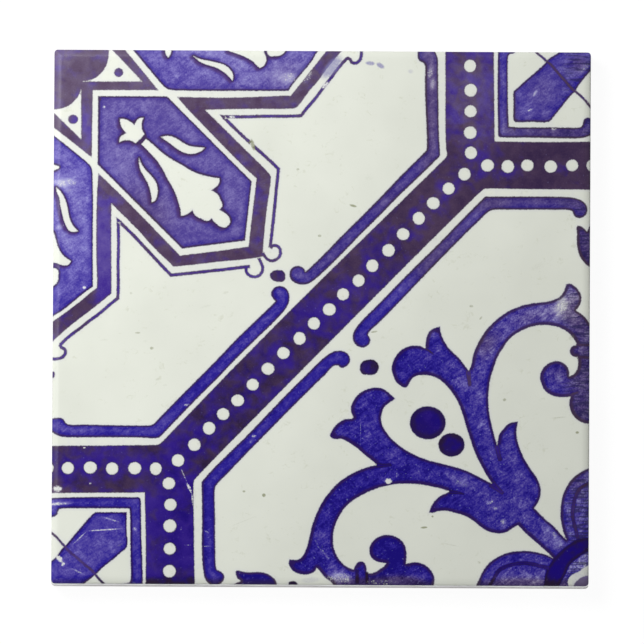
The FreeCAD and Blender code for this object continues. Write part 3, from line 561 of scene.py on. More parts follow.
# both sides of an open line, from its width at the start to its width at the end
def drawStroke(spine, widths):
    left, right = [], []
    last = len(spine) - 1
    for i, point in enumerate(spine):
        before, after = spine[max(i - 1, 0)], spine[min(i + 1, last)]
        along = (after - before).normalized()
        reach = (widths[0] + (widths[1] - widths[0]) * i / last) / 2
        if 0 < i < last:
            # out to the mitre, so that a bend is as wide as the rest
            bend = (point - before).normalized().dot((after - point).normalized())
            reach /= max(layout["mitre"], sqrt(max(0, 1 + bend) / 2))
        side = Vector((-along.y, along.x)) * reach
        left.append(point + side)
        right.append(point - side)
    return left + right[::-1]


def drawDot(centre, size):
    steps = max(layout["dotSteps"], round(2 * pi * max(size) / layout["step"]))
    angles = [2 * pi * i / steps for i in range(steps)]
    return [Vector((centre[0] + size[0] * cos(angle), centre[1] + size[1] * sin(angle))) for angle in angles]


def onTile(point):
    stretch, lean, shift = layout["stretch"], layout["lean"], layout["shift"]
    x = point.x * stretch[0] + point.y * lean[0] + shift[0]
    y = point.y * stretch[1] + point.x * lean[1] + shift[1]
    return Vector((x, y))


# every outline of the ornament, in the order of painting, with the spines of its lines
def drawOrnament():
    order = {"wash": 0, "dark": 1, "bare": 2, "line": 3}
    outlines, spines = [], []
    groups = (medallion, flowers, bands, cornerBlocks, acanthus, rosette)
    for stencil in [stencil for group in groups for stencil in group.values()]:
        copies = [lambda knot: knot]
        if "twin" in stencil:
            copies.append(lambda knot, shift=stencil["twin"]: reflected(knot, shift))
        for copy in copies:
            knots = [copy(knot) for knot in stencil.get("knots", [])]
            if "centre" in stencil:
                points = drawDot(copy(stencil["centre"]), stencil["size"])
            elif "width" in stencil:
                spine = drawCurve(knots, closed=False)
                points = drawStroke(spine, stencil["width"])
                spines += [onTile(point) for point in spine]
            else:
                points = drawCurve(folded(knots) if stencil.get("fold") else knots)
            outlines.append((order[stencil["coat"]], stencil, [onTile(point) for point in points]))
    outlines.sort(key=lambda outline: outline[0])
    return outlines, spines


outlines, spines = drawOrnament()
print("ornament drawn:", len(outlines), "outlines")


# height of the face at a distance from the wall
def rollHeight(distance):
    top, width = tile["thickness"], tile["cushionWidth"]
    arris, cushion = tile["arrisRadius"], tile["cushionRadius"]
    distance = max(0, distance)
    if distance >= width:
        return top
    # the arris blends in where both have one slope
    meet = arris + (width - arris) * -arris / (cushion - arris)
    if distance >= meet:
        return top - cushion + sqrt(cushion**2 - (width - distance) ** 2)
    centre = top - cushion + sqrt((cushion - arris) ** 2 - (width - arris) ** 2)
    return centre + sqrt(max(0, arris**2 - (arris - distance) ** 2))


def wallDistance(x, y):
    return half - max(abs(x), abs(y))


# the face's edge seen from above, with its rounded corners
def faceEdge():
    radius, steps = tile["cornerRadius"], tile["cornerSteps"]
    points = []
    for quarter in range(4):
        turn = Matrix.Rotation(quarter * pi / 2, 2)
        middle = Vector((half - radius, half - radius))
        for i in range(steps + 1):
            angle = pi / 2 * i / steps
            points.append(turn @ (middle + Vector((cos(angle), sin(angle))) * radius))
    return points


# the face in triangles, each with the topmost shape that covers it
def cutFace(shapes, loose):
    coords, rings, lines = [], [], []
    for points in shapes:
        area = sum(a.x * b.y - b.x * a.y for a, b in zip(points, points[1:] + points[:1]))
        first = len(coords)
        coords += points if area > 0 else points[::-1]
        rings.append(list(range(first, len(coords))))
    # lines along the roll of the edge
    for inset in tile["rollSteps"]:
        first, reach = len(coords), half - inset
        steps = round(2 * reach / layout["step"])
        for quarter in range(4):
            turn = Matrix.Rotation(quarter * pi / 2, 2)
            coords += [turn @ Vector((reach, reach * (2 * i / steps - 1))) for i in range(steps)]
        lines += [(i, i + 1) for i in range(first, len(coords) - 1)] + [(len(coords) - 1, first)]
    coords += loose
    cut = geometry.delaunay_2d_cdt(coords, lines, rings, 0, layout["cutGap"], True)
    verts, _, faces, _, _, owners = cut
    return verts, [(face, max(owner)) for face, owner in zip(faces, owners) if 0 in owner]


shapes = [faceEdge()] + [points for _, _, points in outlines]
stencilOf = [None] + [stencil for _, stencil, _ in outlines]


# 0 for white glaze, 1 for blue wash, 2 for dark ink
def coatOf(owner):
    stencil = stencilOf[owner]
    if stencil is None or stencil["coat"] == "bare":
        return 0
    return 1 if stencil["coat"] == "wash" else 2


# the lines where one coat ends, sampled closely
def coatEdges(verts, faces):
    beside = {}
    for face, owner in faces:
        for a, b in zip(face, face[1:] + face[:1]):
            beside.setdefault((min(a, b), max(a, b)), []).append(owner)
    found = {"paint": [], "dark": [], "shade": []}
    for (a, b), owners in beside.items():
        if len(owners) < 2:
            continue
        coats = [coatOf(owner) for owner in owners]
        if coats[0] == coats[1]:
            continue
        painted, other = owners if coats[0] > coats[1] else owners[::-1]
        steps = max(1, round((verts[b] - verts[a]).length / layout["sampleStep"]))
        samples = [(verts[a].lerp(verts[b], (k + 0.5) / steps), painted) for k in range(steps)]
        if min(coats) == 0:
            found["paint"] += samples
            if stencilOf[other] and stencilOf[other].get("shaded"):
                found["shade"] += samples
        if max(coats) == 2:
            found["dark"] += samples
    return found


def treeOf(samples):
    tree = kdtree.KDTree(len(samples))
    for i, (point, _) in enumerate(samples):
        tree.insert((point.x, point.y, 0), i)
    tree.balance()
    return tree


verts, faces = cutFace(shapes, [])
found = coatEdges(verts, faces)
anyEdge = treeOf(found["paint"] + found["dark"])
print("first cut:", len(verts), "points,", len(found["paint"]), "samples along the paint's edge")


# points beside the outlines, over the face and in the marks, so that the finish follows them closely
def loosePoints():
    loose = list(spines)
    inside = half - layout["wallGap"]

    def offer(point, gap):
        if abs(point.x) > inside or abs(point.y) > inside:
            return
        if anyEdge.find((point.x, point.y, 0))[2] >= gap:
            loose.append(point)

    for points in shapes[1:]:
        for before, point, after in zip(points[-1:] + points[:-1], points, points[1:] + points[:1]):
            along = (after - before).normalized()
            side = Vector((-along.y, along.x)) * layout["offset"]
            offer(point + side, layout["offsetGap"])
            offer(point - side, layout["offsetGap"])
    step, jitter = layout["fillStep"], layout["fillJitter"]
    count = floor(tile["side"] / step)
    for i in range(count):
        for j in range(count):
            x = (i + 0.5 + dice.uniform(-jitter, jitter)) * step - half
            y = (j + 0.5 + dice.uniform(-jitter, jitter)) * step - half
            offer(Vector((x, y)), layout["fillGap"])
    across, reach = markGrid["across"], markGrid["reach"]
    for x, y, length, width, angle, _ in [mark for spots in marks.values() for mark in spots]:
        turn = Matrix.Rotation(radians(angle), 2)
        along = max(across, min(markGrid["mostAlong"], round(across * length / width)))
        for i in range(along + 1):
            for j in range(across + 1):
                spot = Vector(((i / along - 0.5) * length * reach, (j / across - 0.5) * width * reach))
                offer(onTile(Vector((x, y)) + turn @ spot), markGrid["gap"])
    return loose


verts, faces = cutFace(shapes, loosePoints())
print("second cut:", len(verts), "points,", len(faces), "triangles")


def clamp(value):
    return max(0, min(1, value))


# what each point of the face carries for the finish
def paintPoints():
    owners = [set() for _ in verts]
    for face, owner in faces:
        for i in face:
            owners[i].add(owner)
    paintEdge, darkEdge = treeOf(found["paint"]), treeOf(found["dark"])
    pearlTree = treeOf([(onTile(Vector(centre)), None) for centre in pearls["centres"]])
    shadeSamples = []
    for part in layout["shadeSteps"]:
        lean = Vector(layout["shadeLean"]) * part
        shadeSamples += [(point + lean, owner) for point, owner in found["shade"]]
    shadeEdge = treeOf(shadeSamples)
    reach, fade, low = layout["reach"], pearls["fade"], layout["lowShadeBand"]
    carried = {}
    for i, vert in enumerate(verts):
        if not owners[i]:
            continue
        spot = (vert.x, vert.y, 0)
        coats = {coatOf(owner) for owner in owners[i]}
        onSeam = len(coats) > 1
        beside, nearest, toPaint = paintEdge.find(spot)
        toDark = darkEdge.find(spot)[2]
        painted = [owner for owner in owners[i] if coatOf(owner)]
        stencil = stencilOf[max(painted)] if painted else stencilOf[found["paint"][nearest][1]]
        aside = (Vector(beside[:2]) - vert).normalized() if toPaint > layout["onEdge"] else Vector((0, 0))
        lean = 1 + aside.dot(Vector(layout["rimLean"]))
        here = {
            "wash": 0 if onSeam and 0 in coats else min(reach, toPaint) * (-1 if coats == {0} else 1),
            "dark": 0 if onSeam and 2 in coats else min(reach, toDark) * (1 if coats == {2} else -1),
            "edge": min(reach, toPaint),
            "shade": min(layout["shadeReach"], shadeEdge.find(spot)[2]),
            "rim": stencil.get("rim", layout["plainRim"]) * lean,
            "ink": stencil["ink"],
            "brown": stencil["brown"],
            "flecks": stencil.get("flecks", layout["plainFlecks"]),
            "rub": 0.0,
            "stain": 0.0,
            "tint": 0.0,
        }
        if stencil is bands["dotBand"]:
            diagonal = clamp((fade[1] - abs(vert.y)) / (fade[1] - fade[0]))
            nearPearl = exp(-((pearlTree.find(spot)[2] / pearls["reach"]) ** 2))
            here["brown"] += diagonal * (pearls["away"] + pearls["near"] * nearPearl)
            here["brown"] += (1 - diagonal) * pearls["nearInArm"] * nearPearl
        # painted shade over the lower edge's roll, which faces away from the light: deeper, browner ink
        paintedLowShade = clamp((low[0] - vert.y) / (low[0] - low[1]))
        here["ink"] += layout["lowShadeInk"] * paintedLowShade
        here["brown"] += layout["lowShadeBrown"] * paintedLowShade
        for x, y, spreadX, spreadY, ink, brown in pools:
            strength = exp(-((vert.x - x) / spreadX) ** 2 - ((vert.y - y) / spreadY) ** 2)
            here["ink"] += ink * strength
            here["brown"] += brown * strength
        for kind, spots in marks.items():
            for x, y, length, width, angle, strength in spots:
                middle = onTile(Vector((x, y)))
                if abs(vert.x - middle.x) > length or abs(vert.y - middle.y) > length:
                    continue
                inMark = Matrix.Rotation(radians(-angle), 2) @ (vert - middle)
                away = hypot(inMark.x / length, inMark.y / width) * 2
                here[kind] = max(here[kind], strength * clamp(markGrid["full"] - markGrid["fall"] * away))
        carried[i] = here
    return carried


carried = paintPoints()
print("finish laid out on", len(carried), "points")


# faces of the mesh in edit mode, chosen by a test on each
def chooseFaces(test):
    bpy.ops.mesh.select_mode(type="FACE")
    bpy.ops.mesh.select_all(action="DESELECT")
    mesh = bmesh.from_edit_mesh(bpy.context.object.data)
    for face in mesh.faces:
        if test(face):
            face.select_set(True)
    mesh.select_flush_mode()
    bmesh.update_edit_mesh(bpy.context.object.data)


def buildTile():
    used = sorted({i for face, _ in faces for i in face})
    place = {old: new for new, old in enumerate(used)}
    points = [(verts[i].x * mm, verts[i].y * mm, rollHeight(wallDistance(*verts[i])) * mm) for i in used]
    mesh = bpy.data.meshes.new("glazedTile")
    mesh.from_pydata(points, [], [[place[i] for i in face] for face, _ in faces])
    for name in carried[used[0]]:
        layer = mesh.attributes.new(name, "FLOAT", "POINT")
        layer.data.foreach_set("value", [carried[i][name] for i in used])
    piece = bpy.data.objects.new("glazedTile", mesh)
    bpy.context.collection.objects.link(piece)
    bpy.ops.object.select_all(action="DESELECT")
    piece.select_set(True)
    bpy.context.view_layer.objects.active = piece

    # walls drawn down from the face's edge, then the foot's chamfer and the back
    bpy.ops.object.mode_set(mode="EDIT")
    bpy.ops.mesh.select_mode(type="EDGE")
    bpy.ops.mesh.select_all(action="DESELECT")
    bpy.ops.mesh.select_non_manifold(use_wire=False, use_multi_face=False, use_non_contiguous=False,
                                     use_verts=False)
    foot = tile["footChamfer"]
    bpy.ops.mesh.extrude_edges_move(TRANSFORM_OT_translate={"value": (0, 0, -foot * mm)})
    bpy.ops.transform.resize(value=(1, 1, 0), center_override=(0, 0, foot * mm))
    bpy.ops.mesh.extrude_edges_move(TRANSFORM_OT_translate={"value": (0, 0, -foot * mm)})
    shrink = (half - foot) / half
    bpy.ops.transform.resize(value=(shrink, shrink, 1), center_override=(0, 0, 0))
    bpy.ops.mesh.edge_face_add()

    # the key: a lattice of cells, each with its recess
    keyed = tile["side"] - 2 * tile["keyMargin"] + tile["keyRib"]
    pitch = keyed / tile["keyCount"]
    recess = (pitch - tile["keyRib"]) * mm

    def isBack(face):
        return face.calc_center_median().z < tile["backLevel"] * mm

    def inKey(face):
        middle = face.calc_center_median()
        return isBack(face) and max(abs(middle.x), abs(middle.y)) < keyed / 2 * mm

    def isRecess(face):
        return inKey(face) and face.calc_area() > tile["recessShare"] * recess**2

    for axis in ((1, 0, 0), (0, 1, 0)):
        for i in range(tile["keyCount"] + 1):
            chooseFaces(isBack)
            at = (i * pitch - keyed / 2) * mm
            bpy.ops.mesh.bisect(plane_co=Vector(axis) * at, plane_no=axis)
    chooseFaces(inKey)
    bpy.ops.mesh.inset(thickness=tile["keyRib"] / 2 * mm, use_individual=True)
    chooseFaces(isRecess)
    bpy.ops.mesh.bevel(offset=tile["keyCorner"] * mm, segments=tile["keyCornerSteps"], affect="VERTICES")
    chooseFaces(isRecess)
    drafted = tile["keyDepth"] * tan(radians(tile["keyDraft"]))
    bpy.ops.mesh.inset(thickness=drafted * mm, depth=-tile["keyDepth"] * mm, use_individual=True)
    bpy.ops.mesh.select_all(action="SELECT")
    bpy.ops.mesh.remove_doubles(threshold=tile["mergeGap"] * mm)
    bpy.ops.mesh.normals_make_consistent(inside=False)
    bpy.ops.object.mode_set(mode="OBJECT")
    bpy.ops.object.shade_smooth_by_angle(angle=radians(tile["smoothAngle"]))
    return piece


glazedTile = buildTile()
print("tile built:", len(glazedTile.data.polygons), "faces")


# most of the baked picture goes to the face, with the walls above it and the back beside it
unwrap = {
    "face": 0.775,
    "back": 0.2,
    "gap": 0.008,
    "faceRise": 0.02,          # a face that looks up more than this is glazed
    "wallRise": 0.5,           # one that looks up or down less than this may be a wall
}
onFace, onWall, onBack = range(3)  # in the order in which the finishes are laid on


def finishFaces(piece):
    mesh = piece.data
    for polygon in mesh.polygons:
        middle, rise = polygon.center / mm, polygon.normal.z
        besideWall = wallDistance(middle.x, middle.y) < tile["cornerRadius"]
        polygon.material_index = onBack
        if rise > unwrap["faceRise"] and middle.z > tile["thickness"] / 2:
            polygon.material_index = onFace
        elif besideWall and middle.z > tile["footChamfer"] and abs(rise) < unwrap["wallRise"]:
            polygon.material_index = onWall
    layer = mesh.uv_layers.new(name="OFBake")
    side, gap, face, back = tile["side"] * mm, unwrap["gap"], unwrap["face"], unwrap["back"]
    wallRow = face * tile["thickness"] / tile["side"] + gap / 2
    for polygon in mesh.polygons:
        facing = 0 if abs(polygon.normal.x) > abs(polygon.normal.y) else 1
        row = facing * 2 + (polygon.normal[facing] > 0)
        for loop in polygon.loop_indices:
            co = mesh.vertices[mesh.loops[loop].vertex_index].co
            u, v = co.x / side + 0.5, co.y / side + 0.5
            if polygon.material_index == onFace:
                spot = (gap + u * face, gap + v * face)
            elif polygon.material_index == onBack:
                spot = (2 * gap + face + u * back, gap + v * back)
            else:
                spot = (gap + (v, u)[facing] * face, face + 2 * gap + row * wallRow + co.z / side * face)
            layer.data[loop].uv = spot


finishFaces(glazedTile)
print("faces sorted by finish and unwrapped")


# a colour as seen, 0 to 255, by the sRGB curve
def colour(red, green, blue):
    linear = [((c / 255 + 0.055) / 1.055) ** 2.4 if c > 10 else c / 255 / 12.92 for c in (red, green, blue)]
    return (*linear, 1)


# an output of a node, to be added, multiplied and mixed as a number is
class Wire:
    def __init__(self, tree, socket=None):
        self.tree, self.socket = tree, socket

    # any node: its settings first, then values or wires for its sockets
    def node(self, kind, settings=None, sockets=None, out=0):
        made = self.tree.nodes.new(kind)
        for name, value in (settings or {}).items():
            if name == "stops":
                ramp = made.color_ramp
                while len(ramp.elements) < len(value):
                    ramp.elements.new(1)
                for element, (position, tint) in zip(ramp.elements, value):
                    element.position, element.color = position, tint
            else:
                setattr(made, name, value)
        for name, value in (sockets or {}).items():
            if isinstance(value, Wire):
                self.tree.links.new(value.socket, made.inputs[name])
            else:
                made.inputs[name].default_value = value
        return Wire(self.tree, made.outputs[out] if made.outputs else None)

    def maths(self, operation, a, b):
        return self.node("ShaderNodeMath", {"operation": operation}, {0: a, 1: b})

    def __add__(self, other):
        return self.maths("ADD", self, other)

    def __radd__(self, other):
        return self.maths("ADD", other, self)

    def __sub__(self, other):
        return self.maths("SUBTRACT", self, other)

    def __rsub__(self, other):
        return self.maths("SUBTRACT", other, self)

    def __mul__(self, other):
        return self.maths("MULTIPLY", self, other)

    def __rmul__(self, other):
        return self.maths("MULTIPLY", other, self)

    def over(self, low, high):
        return self.node("ShaderNodeMapRange", {"interpolation_type": "SMOOTHSTEP"},
                         {"Value": self, "From Min": low, "From Max": high})

    def mix(self, a, b):
        return self.node("ShaderNodeMix", {"data_type": "RGBA"}, {0: self, 6: a, 7: b}, out=2)

    def ramp(self, stops):
        return self.node("ShaderNodeValToRGB", {"stops": stops}, {0: self})


def newMaterial(name):
    material = bpy.data.materials.new(name)
    material.use_nodes = True
    material.node_tree.nodes.clear()
    return material, Wire(material.node_tree)


def finishMaterial(wire, shader):
    wire.node("ShaderNodeOutputMaterial", None, {"Surface": shader})


def placeOn(wire):
    return wire.node("ShaderNodeTexCoord", out="Object")


# clouds and grain round nought, by how many go into a millimetre
def cloud(wire, place, perMm, detail=2.0, rough=0.5, distort=0.0):
    noise = wire.node("ShaderNodeTexNoise", None, {
        "Vector": place, "Scale": perMm / mm, "Detail": detail, "Roughness": rough, "Distortion": distort})
    return noise - 0.5


def axisOf(wire, place, axis):
    return wire.node("ShaderNodeSeparateXYZ", None, {0: place}, out=axis)


def bump(wire, height, strength, depth):
    return wire.node("ShaderNodeBump", None, {"Strength": strength, "Distance": depth * mm, "Height": height})


glaze = {
    "white": colour(229, 232, 221),
    "greyWhite": colour(220, 223, 212),
    "smudge": colour(205, 208, 190),
    "halo": colour(208, 207, 220),
    "stain": colour(128, 132, 92),
    "tint": colour(126, 122, 176),
    "thinBlue": colour(150, 147, 205),
    "shade": colour(74, 48, 96),
    "score": colour(42, 36, 86),
    # colours from thin to deep
    "blue": [(0.0, colour(205, 204, 222)), (0.22, colour(150, 147, 205)), (0.42, colour(112, 103, 182)),
             (0.58, colour(80, 68, 160)), (0.78, colour(46, 34, 148)), (1.0, colour(24, 10, 122))],
    "violet": [(0.0, colour(208, 205, 214)), (0.22, colour(164, 155, 186)), (0.42, colour(124, 111, 152)),
               (0.58, colour(97, 81, 130)), (0.78, colour(68, 52, 110)), (1.0, colour(42, 26, 84))],
    "indigo": [(0.16, colour(134, 122, 190)), (0.36, colour(104, 88, 156)), (0.56, colour(64, 43, 138)),
               (0.72, colour(45, 23, 128)), (0.8, colour(30, 10, 114)), (1.0, colour(20, 2, 128))],
    "umber": [(0.16, colour(150, 138, 150)), (0.36, colour(107, 93, 119)), (0.56, colour(79, 60, 87)),
              (0.72, colour(55, 38, 73)), (0.8, colour(41, 26, 53)), (1.0, colour(34, 14, 52))],
    "rimInk": [(0.0, colour(38, 14, 86)), (0.5, colour(58, 38, 88)), (1.0, colour(66, 50, 72))],  # by brown
    # noises: how many go into a millimetre, then detail, roughness and distortion
    "noises": {
        "grain": (2.4, 2.0, 0.6),
        "fleck": (0.8, 2.0, 0.6, 0.9),
        "patch": (0.38, 1.0, 0.5, 0.5),
        "drift": (0.22, 2.0, 0.55, 0.3),
        "haze": (0.06, 2.0, 0.5),
        "pin": (1.5, 1.0),
        "ripple": (0.5,),
    },
    # noises drawn out into brush strokes and fine lines: their turn in degrees and their stretch
    "strokes": {"hatch": (35, (3.2, 0.55, 1)), "score": (0, (5, 0.6, 1))},
    "strokeNoise": (1.0, 1.0),
    # how much of each noise goes into an effect
    "mottling": {
        "edge": {"grain": 0.34, "fleck": 0.2},
        "wear": {"grain": 1.3, "fleck": 0.7},
        "wash": {"fleck": 0.7, "grain": 0.65, "patch": 0.6, "hatch": 0.42},
        "ink": {"grain": 0.16, "drift": 0.24, "patch": -0.22},
        "brown": {"drift": 1.8, "patch": 1.0, "grain": 0.35},
        "score": {"score": 1.0, "grain": 0.2},
        "smudge": {"drift": 0.6, "fleck": 0.8},
        "tint": {"fleck": 0.7, "grain": 0.7},
    },
    # where an effect sets in, where it is whole, and how much it then covers
    "covers": {
        "wear": (0.28, 0.82, 1.0),
        "violet": (0.4, 1.2, 1.0),
        "umber": (0.0, 1.0, 1.0),
        "thinSpots": (0.14, 0.3, 0.5),
        "inkSpots": (0.16, 0.32, 0.3),
        "score": (-0.04, 0.1, 0.75),
        "smudge": (0.1, 0.3, 0.6),
        "halo": (-0.9, 0.1, 0.35),
        "tint": (0.1, 0.9, 0.75),
        "stain": (0.15, 0.8, 0.75),
    },
    # the same inwards from an outline: in millimetres, then twice in widths of the rim
    "shading": (0.0, 0.8, 0.8),
    "washRim": (0.5, 1.15, 0.92),
    "inkRim": (0.4, 1.2, 0.7),
    "softness": 0.17,          # half the blur of a painted edge, mm
    "wearAndSheenStart": (0.02, 0.3),
    "scored": (60, 67),        # the fine lines come in between these, mm to the right
    "pooling": 1.1,            # width of the deeper strip beside an outline, mm
    "pooled": 0.16,
    "rubAndSheenThinning": 0.35,            # how much thinner the colour is where it is rubbed, and where a rub paints a highlight
    "washDrift": 0.3,
    "rimDrift": 0.5,
    "rimRagged": 0.6,
    "rimWander": 0.3,
    "shadeRagged": 1.2,
    "inkDepth": 0.8,
    "hazing": 1.6,
    "ripple": (0.12, 0.02),    # strength, and depth in mm
    "specular": 0.2,
    "roughness": 0.16,
    "rimRoughness": 0.34,      # more, where the face rolls down
    "rollEnd": 0.6,            # where the roll is as rough as it gets, mm from the wall
    "fleckRoughness": 0.05,
    "wornRoughness": 0.25,
}


def paintedGlaze():
    material, wire = newMaterial("painted glaze")
    place = placeOn(wire)

    def read(name):
        return wire.node("ShaderNodeAttribute", {"attribute_name": name}, out="Fac")

    wash, dark, edge, shade, rim = [read(name) for name in ("wash", "dark", "edge", "shade", "rim")]
    ink, brown, flecks = read("ink"), read("brown"), read("flecks")
    rub, stain, tint = read("rub"), read("stain"), read("tint")
    noises = {name: cloud(wire, place, *values) for name, values in glaze["noises"].items()}
    for name, (turn, stretch) in glaze["strokes"].items():
        drawnOut = wire.node("ShaderNodeMapping", {"vector_type": "TEXTURE"}, {
            "Vector": place, "Rotation": (0, 0, radians(turn)), "Scale": stretch})
        noises[name] = cloud(wire, drawnOut, *glaze["strokeNoise"])
    drift, pin = noises["drift"], noises["pin"]

    def mottled(name):
        parts = [noises[noise] * amount for noise, amount in glaze["mottling"][name].items()]
        return sum(parts[1:], parts[0])

    def cover(value, name):
        low, high, share = glaze["covers"][name]
        return value.over(low, high) * share

    def inwards(distance, name, unit):
        low, high, share = glaze[name]
        return (1 - distance.over(unit * low, unit * high)) * share

    # where colour lies, with soft uneven edges
    soft, ragged = glaze["softness"], mottled("edge")
    # the rubs thin the colour: wear, and by the left edge also a painted highlight
    wornAndSheen = cover(rub + mottled("wear") * rub.over(*glaze["wearAndSheenStart"]), "wear")
    painted = (wash + ragged).over(-soft, soft)
    darkened = (dark + ragged).over(-soft, soft)
    thinned = rub * glaze["rubAndSheenThinning"]

    # blue wash, from thin to deep: deeper beside its outline, flecked with thin spots
    beside = (1 - edge.over(rim, rim + glaze["pooling"])) * glaze["pooled"]
    depth = ink + mottled("wash") * flecks + drift * glaze["washDrift"] + beside - thinned
    blue = cover(brown, "violet").mix(depth.ramp(glaze["blue"]), depth.ramp(glaze["violet"]))
    blue = (cover(pin, "thinSpots") * flecks).mix(blue, glaze["thinBlue"])
    blue = inwards(shade + ragged * glaze["shadeRagged"], "shading", 1).mix(blue, glaze["shade"])
    nearRight = axisOf(wire, place, "X").over(*[x * mm for x in glaze["scored"]])
    blue = (cover(mottled("score"), "score") * nearRight).mix(blue, glaze["score"])
    rimInk = (brown + drift * glaze["rimDrift"]).ramp(glaze["rimInk"])
    toRim = edge + ragged * glaze["rimRagged"] + drift * glaze["rimWander"]
    blue = inwards(toRim, "washRim", rim).mix(blue, rimInk)

    # dark manganese ink, clouded between indigo and umber
    depth = (ink + mottled("ink") - thinned) * glaze["inkDepth"]
    umber = depth.ramp(glaze["umber"])
    inked = cover(brown + mottled("brown"), "umber").mix(depth.ramp(glaze["indigo"]), umber)
    inked = (cover(pin, "inkSpots") * flecks).mix(inked, glaze["thinBlue"])
    inked = inwards(dark + ragged, "inkRim", rim).mix(inked, umber)
    paint = darkened.mix(blue, inked)

    # the white glaze, hazed in places and tinted beside the colour
    ground = (noises["haze"] * glaze["hazing"] + 0.5).mix(glaze["white"], glaze["greyWhite"])
    ground = cover(mottled("smudge"), "smudge").mix(ground, glaze["smudge"])
    ground = cover(wash + ragged, "halo").mix(ground, glaze["halo"])
    surface = (painted * (1 - wornAndSheen)).mix(ground, paint)
    surface = cover(tint + mottled("tint") * tint, "tint").mix(surface, glaze["tint"])
    surface = cover(stain + noises["grain"] * stain, "stain").mix(surface, glaze["stain"])

    # rougher where the face rolls down, and under the rubs, both the worn ones and the painted highlight
    outwards = [wire.maths("ABSOLUTE", axisOf(wire, place, axis), 0) for axis in ("X", "Y")]
    rollStart, rollEnd = half - tile["cushionWidth"], half - glaze["rollEnd"]
    rolling = wire.maths("MAXIMUM", *outwards).over(rollStart * mm, rollEnd * mm)
    roughness = glaze["roughness"] + rolling * glaze["rimRoughness"]
    roughness = roughness + noises["fleck"] * glaze["fleckRoughness"] + wornAndSheen * glaze["wornRoughness"]
    finishMaterial(wire, wire.node("ShaderNodeBsdfPrincipled", None, {
        "Base Color": surface, "Roughness": roughness, "Specular IOR Level": glaze["specular"],
        "Normal": bump(wire, noises["ripple"], *glaze["ripple"])}))
    return material


wall = {
    "bare": colour(245, 244, 245),
    "run": colour(248, 249, 250),
    "dirt": colour(198, 195, 192),
    "wave": (0.16, 2.0),       # noises, as in the glaze
    "grain": (1.8, 3.0, 0.6),
    "runReach": 7.0,           # how far the runs rise and fall, mm
    "runEnd": (4.6, 5.0),      # where they end above the back, mm
    "dirtGrain": 0.9,
    "dirtWave": 0.6,
    "dirtAll": 0.4,
    "roughness": 0.75,
    "runGloss": 0.5,           # less rough by this, where glaze has run
    "specular": 0.3,
    "bump": (0.3, 0.1),        # strength, and depth in mm
    "bumpGrain": 0.4,
}


def bareWall():
    material, wire = newMaterial("bare wall with runs of glaze")
    place = placeOn(wire)
    wave, grain = cloud(wire, place, *wall["wave"]), cloud(wire, place, *wall["grain"])
    height = axisOf(wire, place, "Z") * (1 / mm)
    glazed = (height + wave * wall["runReach"]).over(*wall["runEnd"])
    dirty = grain * wall["dirtGrain"] + wave * wall["dirtWave"] + wall["dirtAll"]
    clay = dirty.mix(wall["bare"], wall["dirt"])
    finishMaterial(wire, wire.node("ShaderNodeBsdfPrincipled", None, {
        "Base Color": glazed.mix(clay, wall["run"]),
        "Roughness": wall["roughness"] - glazed * wall["runGloss"],
        "Specular IOR Level": wall["specular"],
        "Normal": bump(wire, glazed + grain * wall["bumpGrain"], *wall["bump"])}))
    return material


biscuit = {
    "clay": colour(222, 208, 186),
    "pale": colour(232, 222, 204),
    "speck": colour(168, 146, 120),
    "broad": (0.05, 3.0),      # noises, as in the glaze
    "grain": (1.6, 3.0, 0.65),
    "paleRange": (-0.2, 0.2),
    "speckRange": (0.08, 0.25),
    "speckShare": 0.5,
    "roughness": 0.82,
    "grainRoughness": 0.2,
    "specular": 0.25,
    "bump": (0.4, 0.08),       # strength, and depth in mm
}


def biscuitBack():
    material, wire = newMaterial("biscuit back")
    place = placeOn(wire)
    broad, grain = cloud(wire, place, *biscuit["broad"]), cloud(wire, place, *biscuit["grain"])
    clay = broad.over(*biscuit["paleRange"]).mix(biscuit["clay"], biscuit["pale"])
    clay = (grain.over(*biscuit["speckRange"]) * biscuit["speckShare"]).mix(clay, biscuit["speck"])
    finishMaterial(wire, wire.node("ShaderNodeBsdfPrincipled", None, {
        "Base Color": clay, "Roughness": biscuit["roughness"] + grain * biscuit["grainRoughness"],
        "Specular IOR Level": biscuit["specular"], "Normal": bump(wire, grain, *biscuit["bump"])}))
    return material


for material in (paintedGlaze(), bareWall(), biscuitBack()):
    glazedTile.data.materials.append(material)
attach(glazedTile, "root")
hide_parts("azulejo_tile")
print("finishes laid on")


studio = {
    "floorSize": 12.0,
    "floorWhite": colour(250, 250, 250),
    "white": (1, 1, 1, 1),
    "glow": 1.05,
    "shadowShare": 0.10,       # how much of the shadow the white ground shows
    "skyStrength": 0.17,
    # name, from, size, power
    "lamps": [("key", (-0.215, 0.17, 0.345), 0.28, 2.1), ("fill", (-0.12, -0.7, 0.16), 0.4, 0.85)],
}


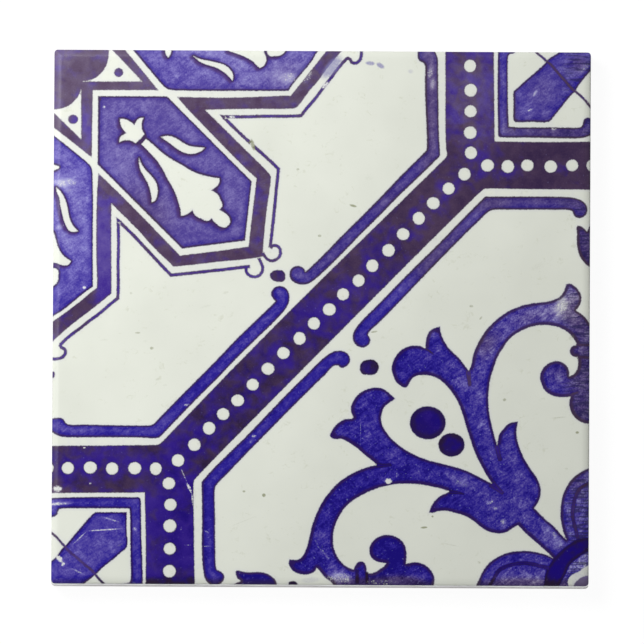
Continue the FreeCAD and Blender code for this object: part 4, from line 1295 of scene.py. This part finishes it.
def setStudio():
    bpy.ops.object.select_all(action="DESELECT")
    bpy.ops.mesh.primitive_plane_add(size=studio["floorSize"], location=(0, 0, tileLow.z))
    ground = bpy.context.object
    ground.name = "studioFloor"
    material, wire = newMaterial("white ground")
    seen = wire.node("ShaderNodeLightPath", out="Is Camera Ray")
    for ray in ("Is Glossy Ray", "Is Transmission Ray"):
        seen = wire.maths("MAXIMUM", seen, wire.node("ShaderNodeLightPath", out=ray))
    matte = wire.node("ShaderNodeBsdfDiffuse", None, {"Color": studio["floorWhite"]})
    glow = wire.node("ShaderNodeEmission", None, {"Color": studio["white"], "Strength": studio["glow"]})
    lit = seen * (1 - studio["shadowShare"])
    finishMaterial(wire, wire.node("ShaderNodeMixShader", None, {0: lit, 1: matte, 2: glow}))
    ground.data.materials.append(material)

    world = bpy.data.worlds.new("studio sky")
    bpy.context.scene.world = world
    world.use_nodes = True
    sky = world.node_tree.nodes["Background"]
    sky.inputs["Color"].default_value = studio["white"]
    sky.inputs["Strength"].default_value = studio["skyStrength"]

    for name, place, size, power in studio["lamps"]:
        bpy.ops.object.light_add(type="AREA", location=place)
        lamp = bpy.context.object
        lamp.name = name
        lamp.data.size = size
        lamp.data.energy = power
        lamp.rotation_euler = Vector(place).to_track_quat("Z", "Y").to_euler()


view = {
    "tilt": 6.1,               # degrees from straight above, leaning to the lower edge
    "roll": 0.31,
    "distance": 8.0,
    "pixelsPerMm": 3.836,
    "picture": 644,            # pixels along each side
    "faceCentre": (321.27, 317.45),  # where the photograph has the middle of the face
    "sensor": 36.0,
}


def setCamera():
    tilt, roll = radians(view["tilt"]), radians(view["roll"])
    turn = Matrix.Rotation(tilt, 3, "X") @ Matrix.Rotation(roll, 3, "Z")
    offX = (view["picture"] / 2 - view["faceCentre"][0]) / view["pixelsPerMm"] * mm
    offY = (view["faceCentre"][1] - view["picture"] / 2) / view["pixelsPerMm"] * mm
    aim = Vector((0, 0, tileHigh.z)) + turn @ Vector((offX, offY, 0))
    data = bpy.data.cameras.new("camera")
    data.sensor_width = view["sensor"]
    data.lens = view["sensor"] * view["distance"] / (view["picture"] / view["pixelsPerMm"] * mm)
    camera = bpy.data.objects.new("camera", data)
    camera.matrix_world = Matrix.Translation(aim + turn @ Vector((0, 0, view["distance"]))) @ turn.to_4x4()
    bpy.context.collection.objects.link(camera)
    bpy.context.scene.camera = camera


setStudio()
setCamera()
bpy.context.scene.view_settings.view_transform = "Standard"
print("studio and camera set")
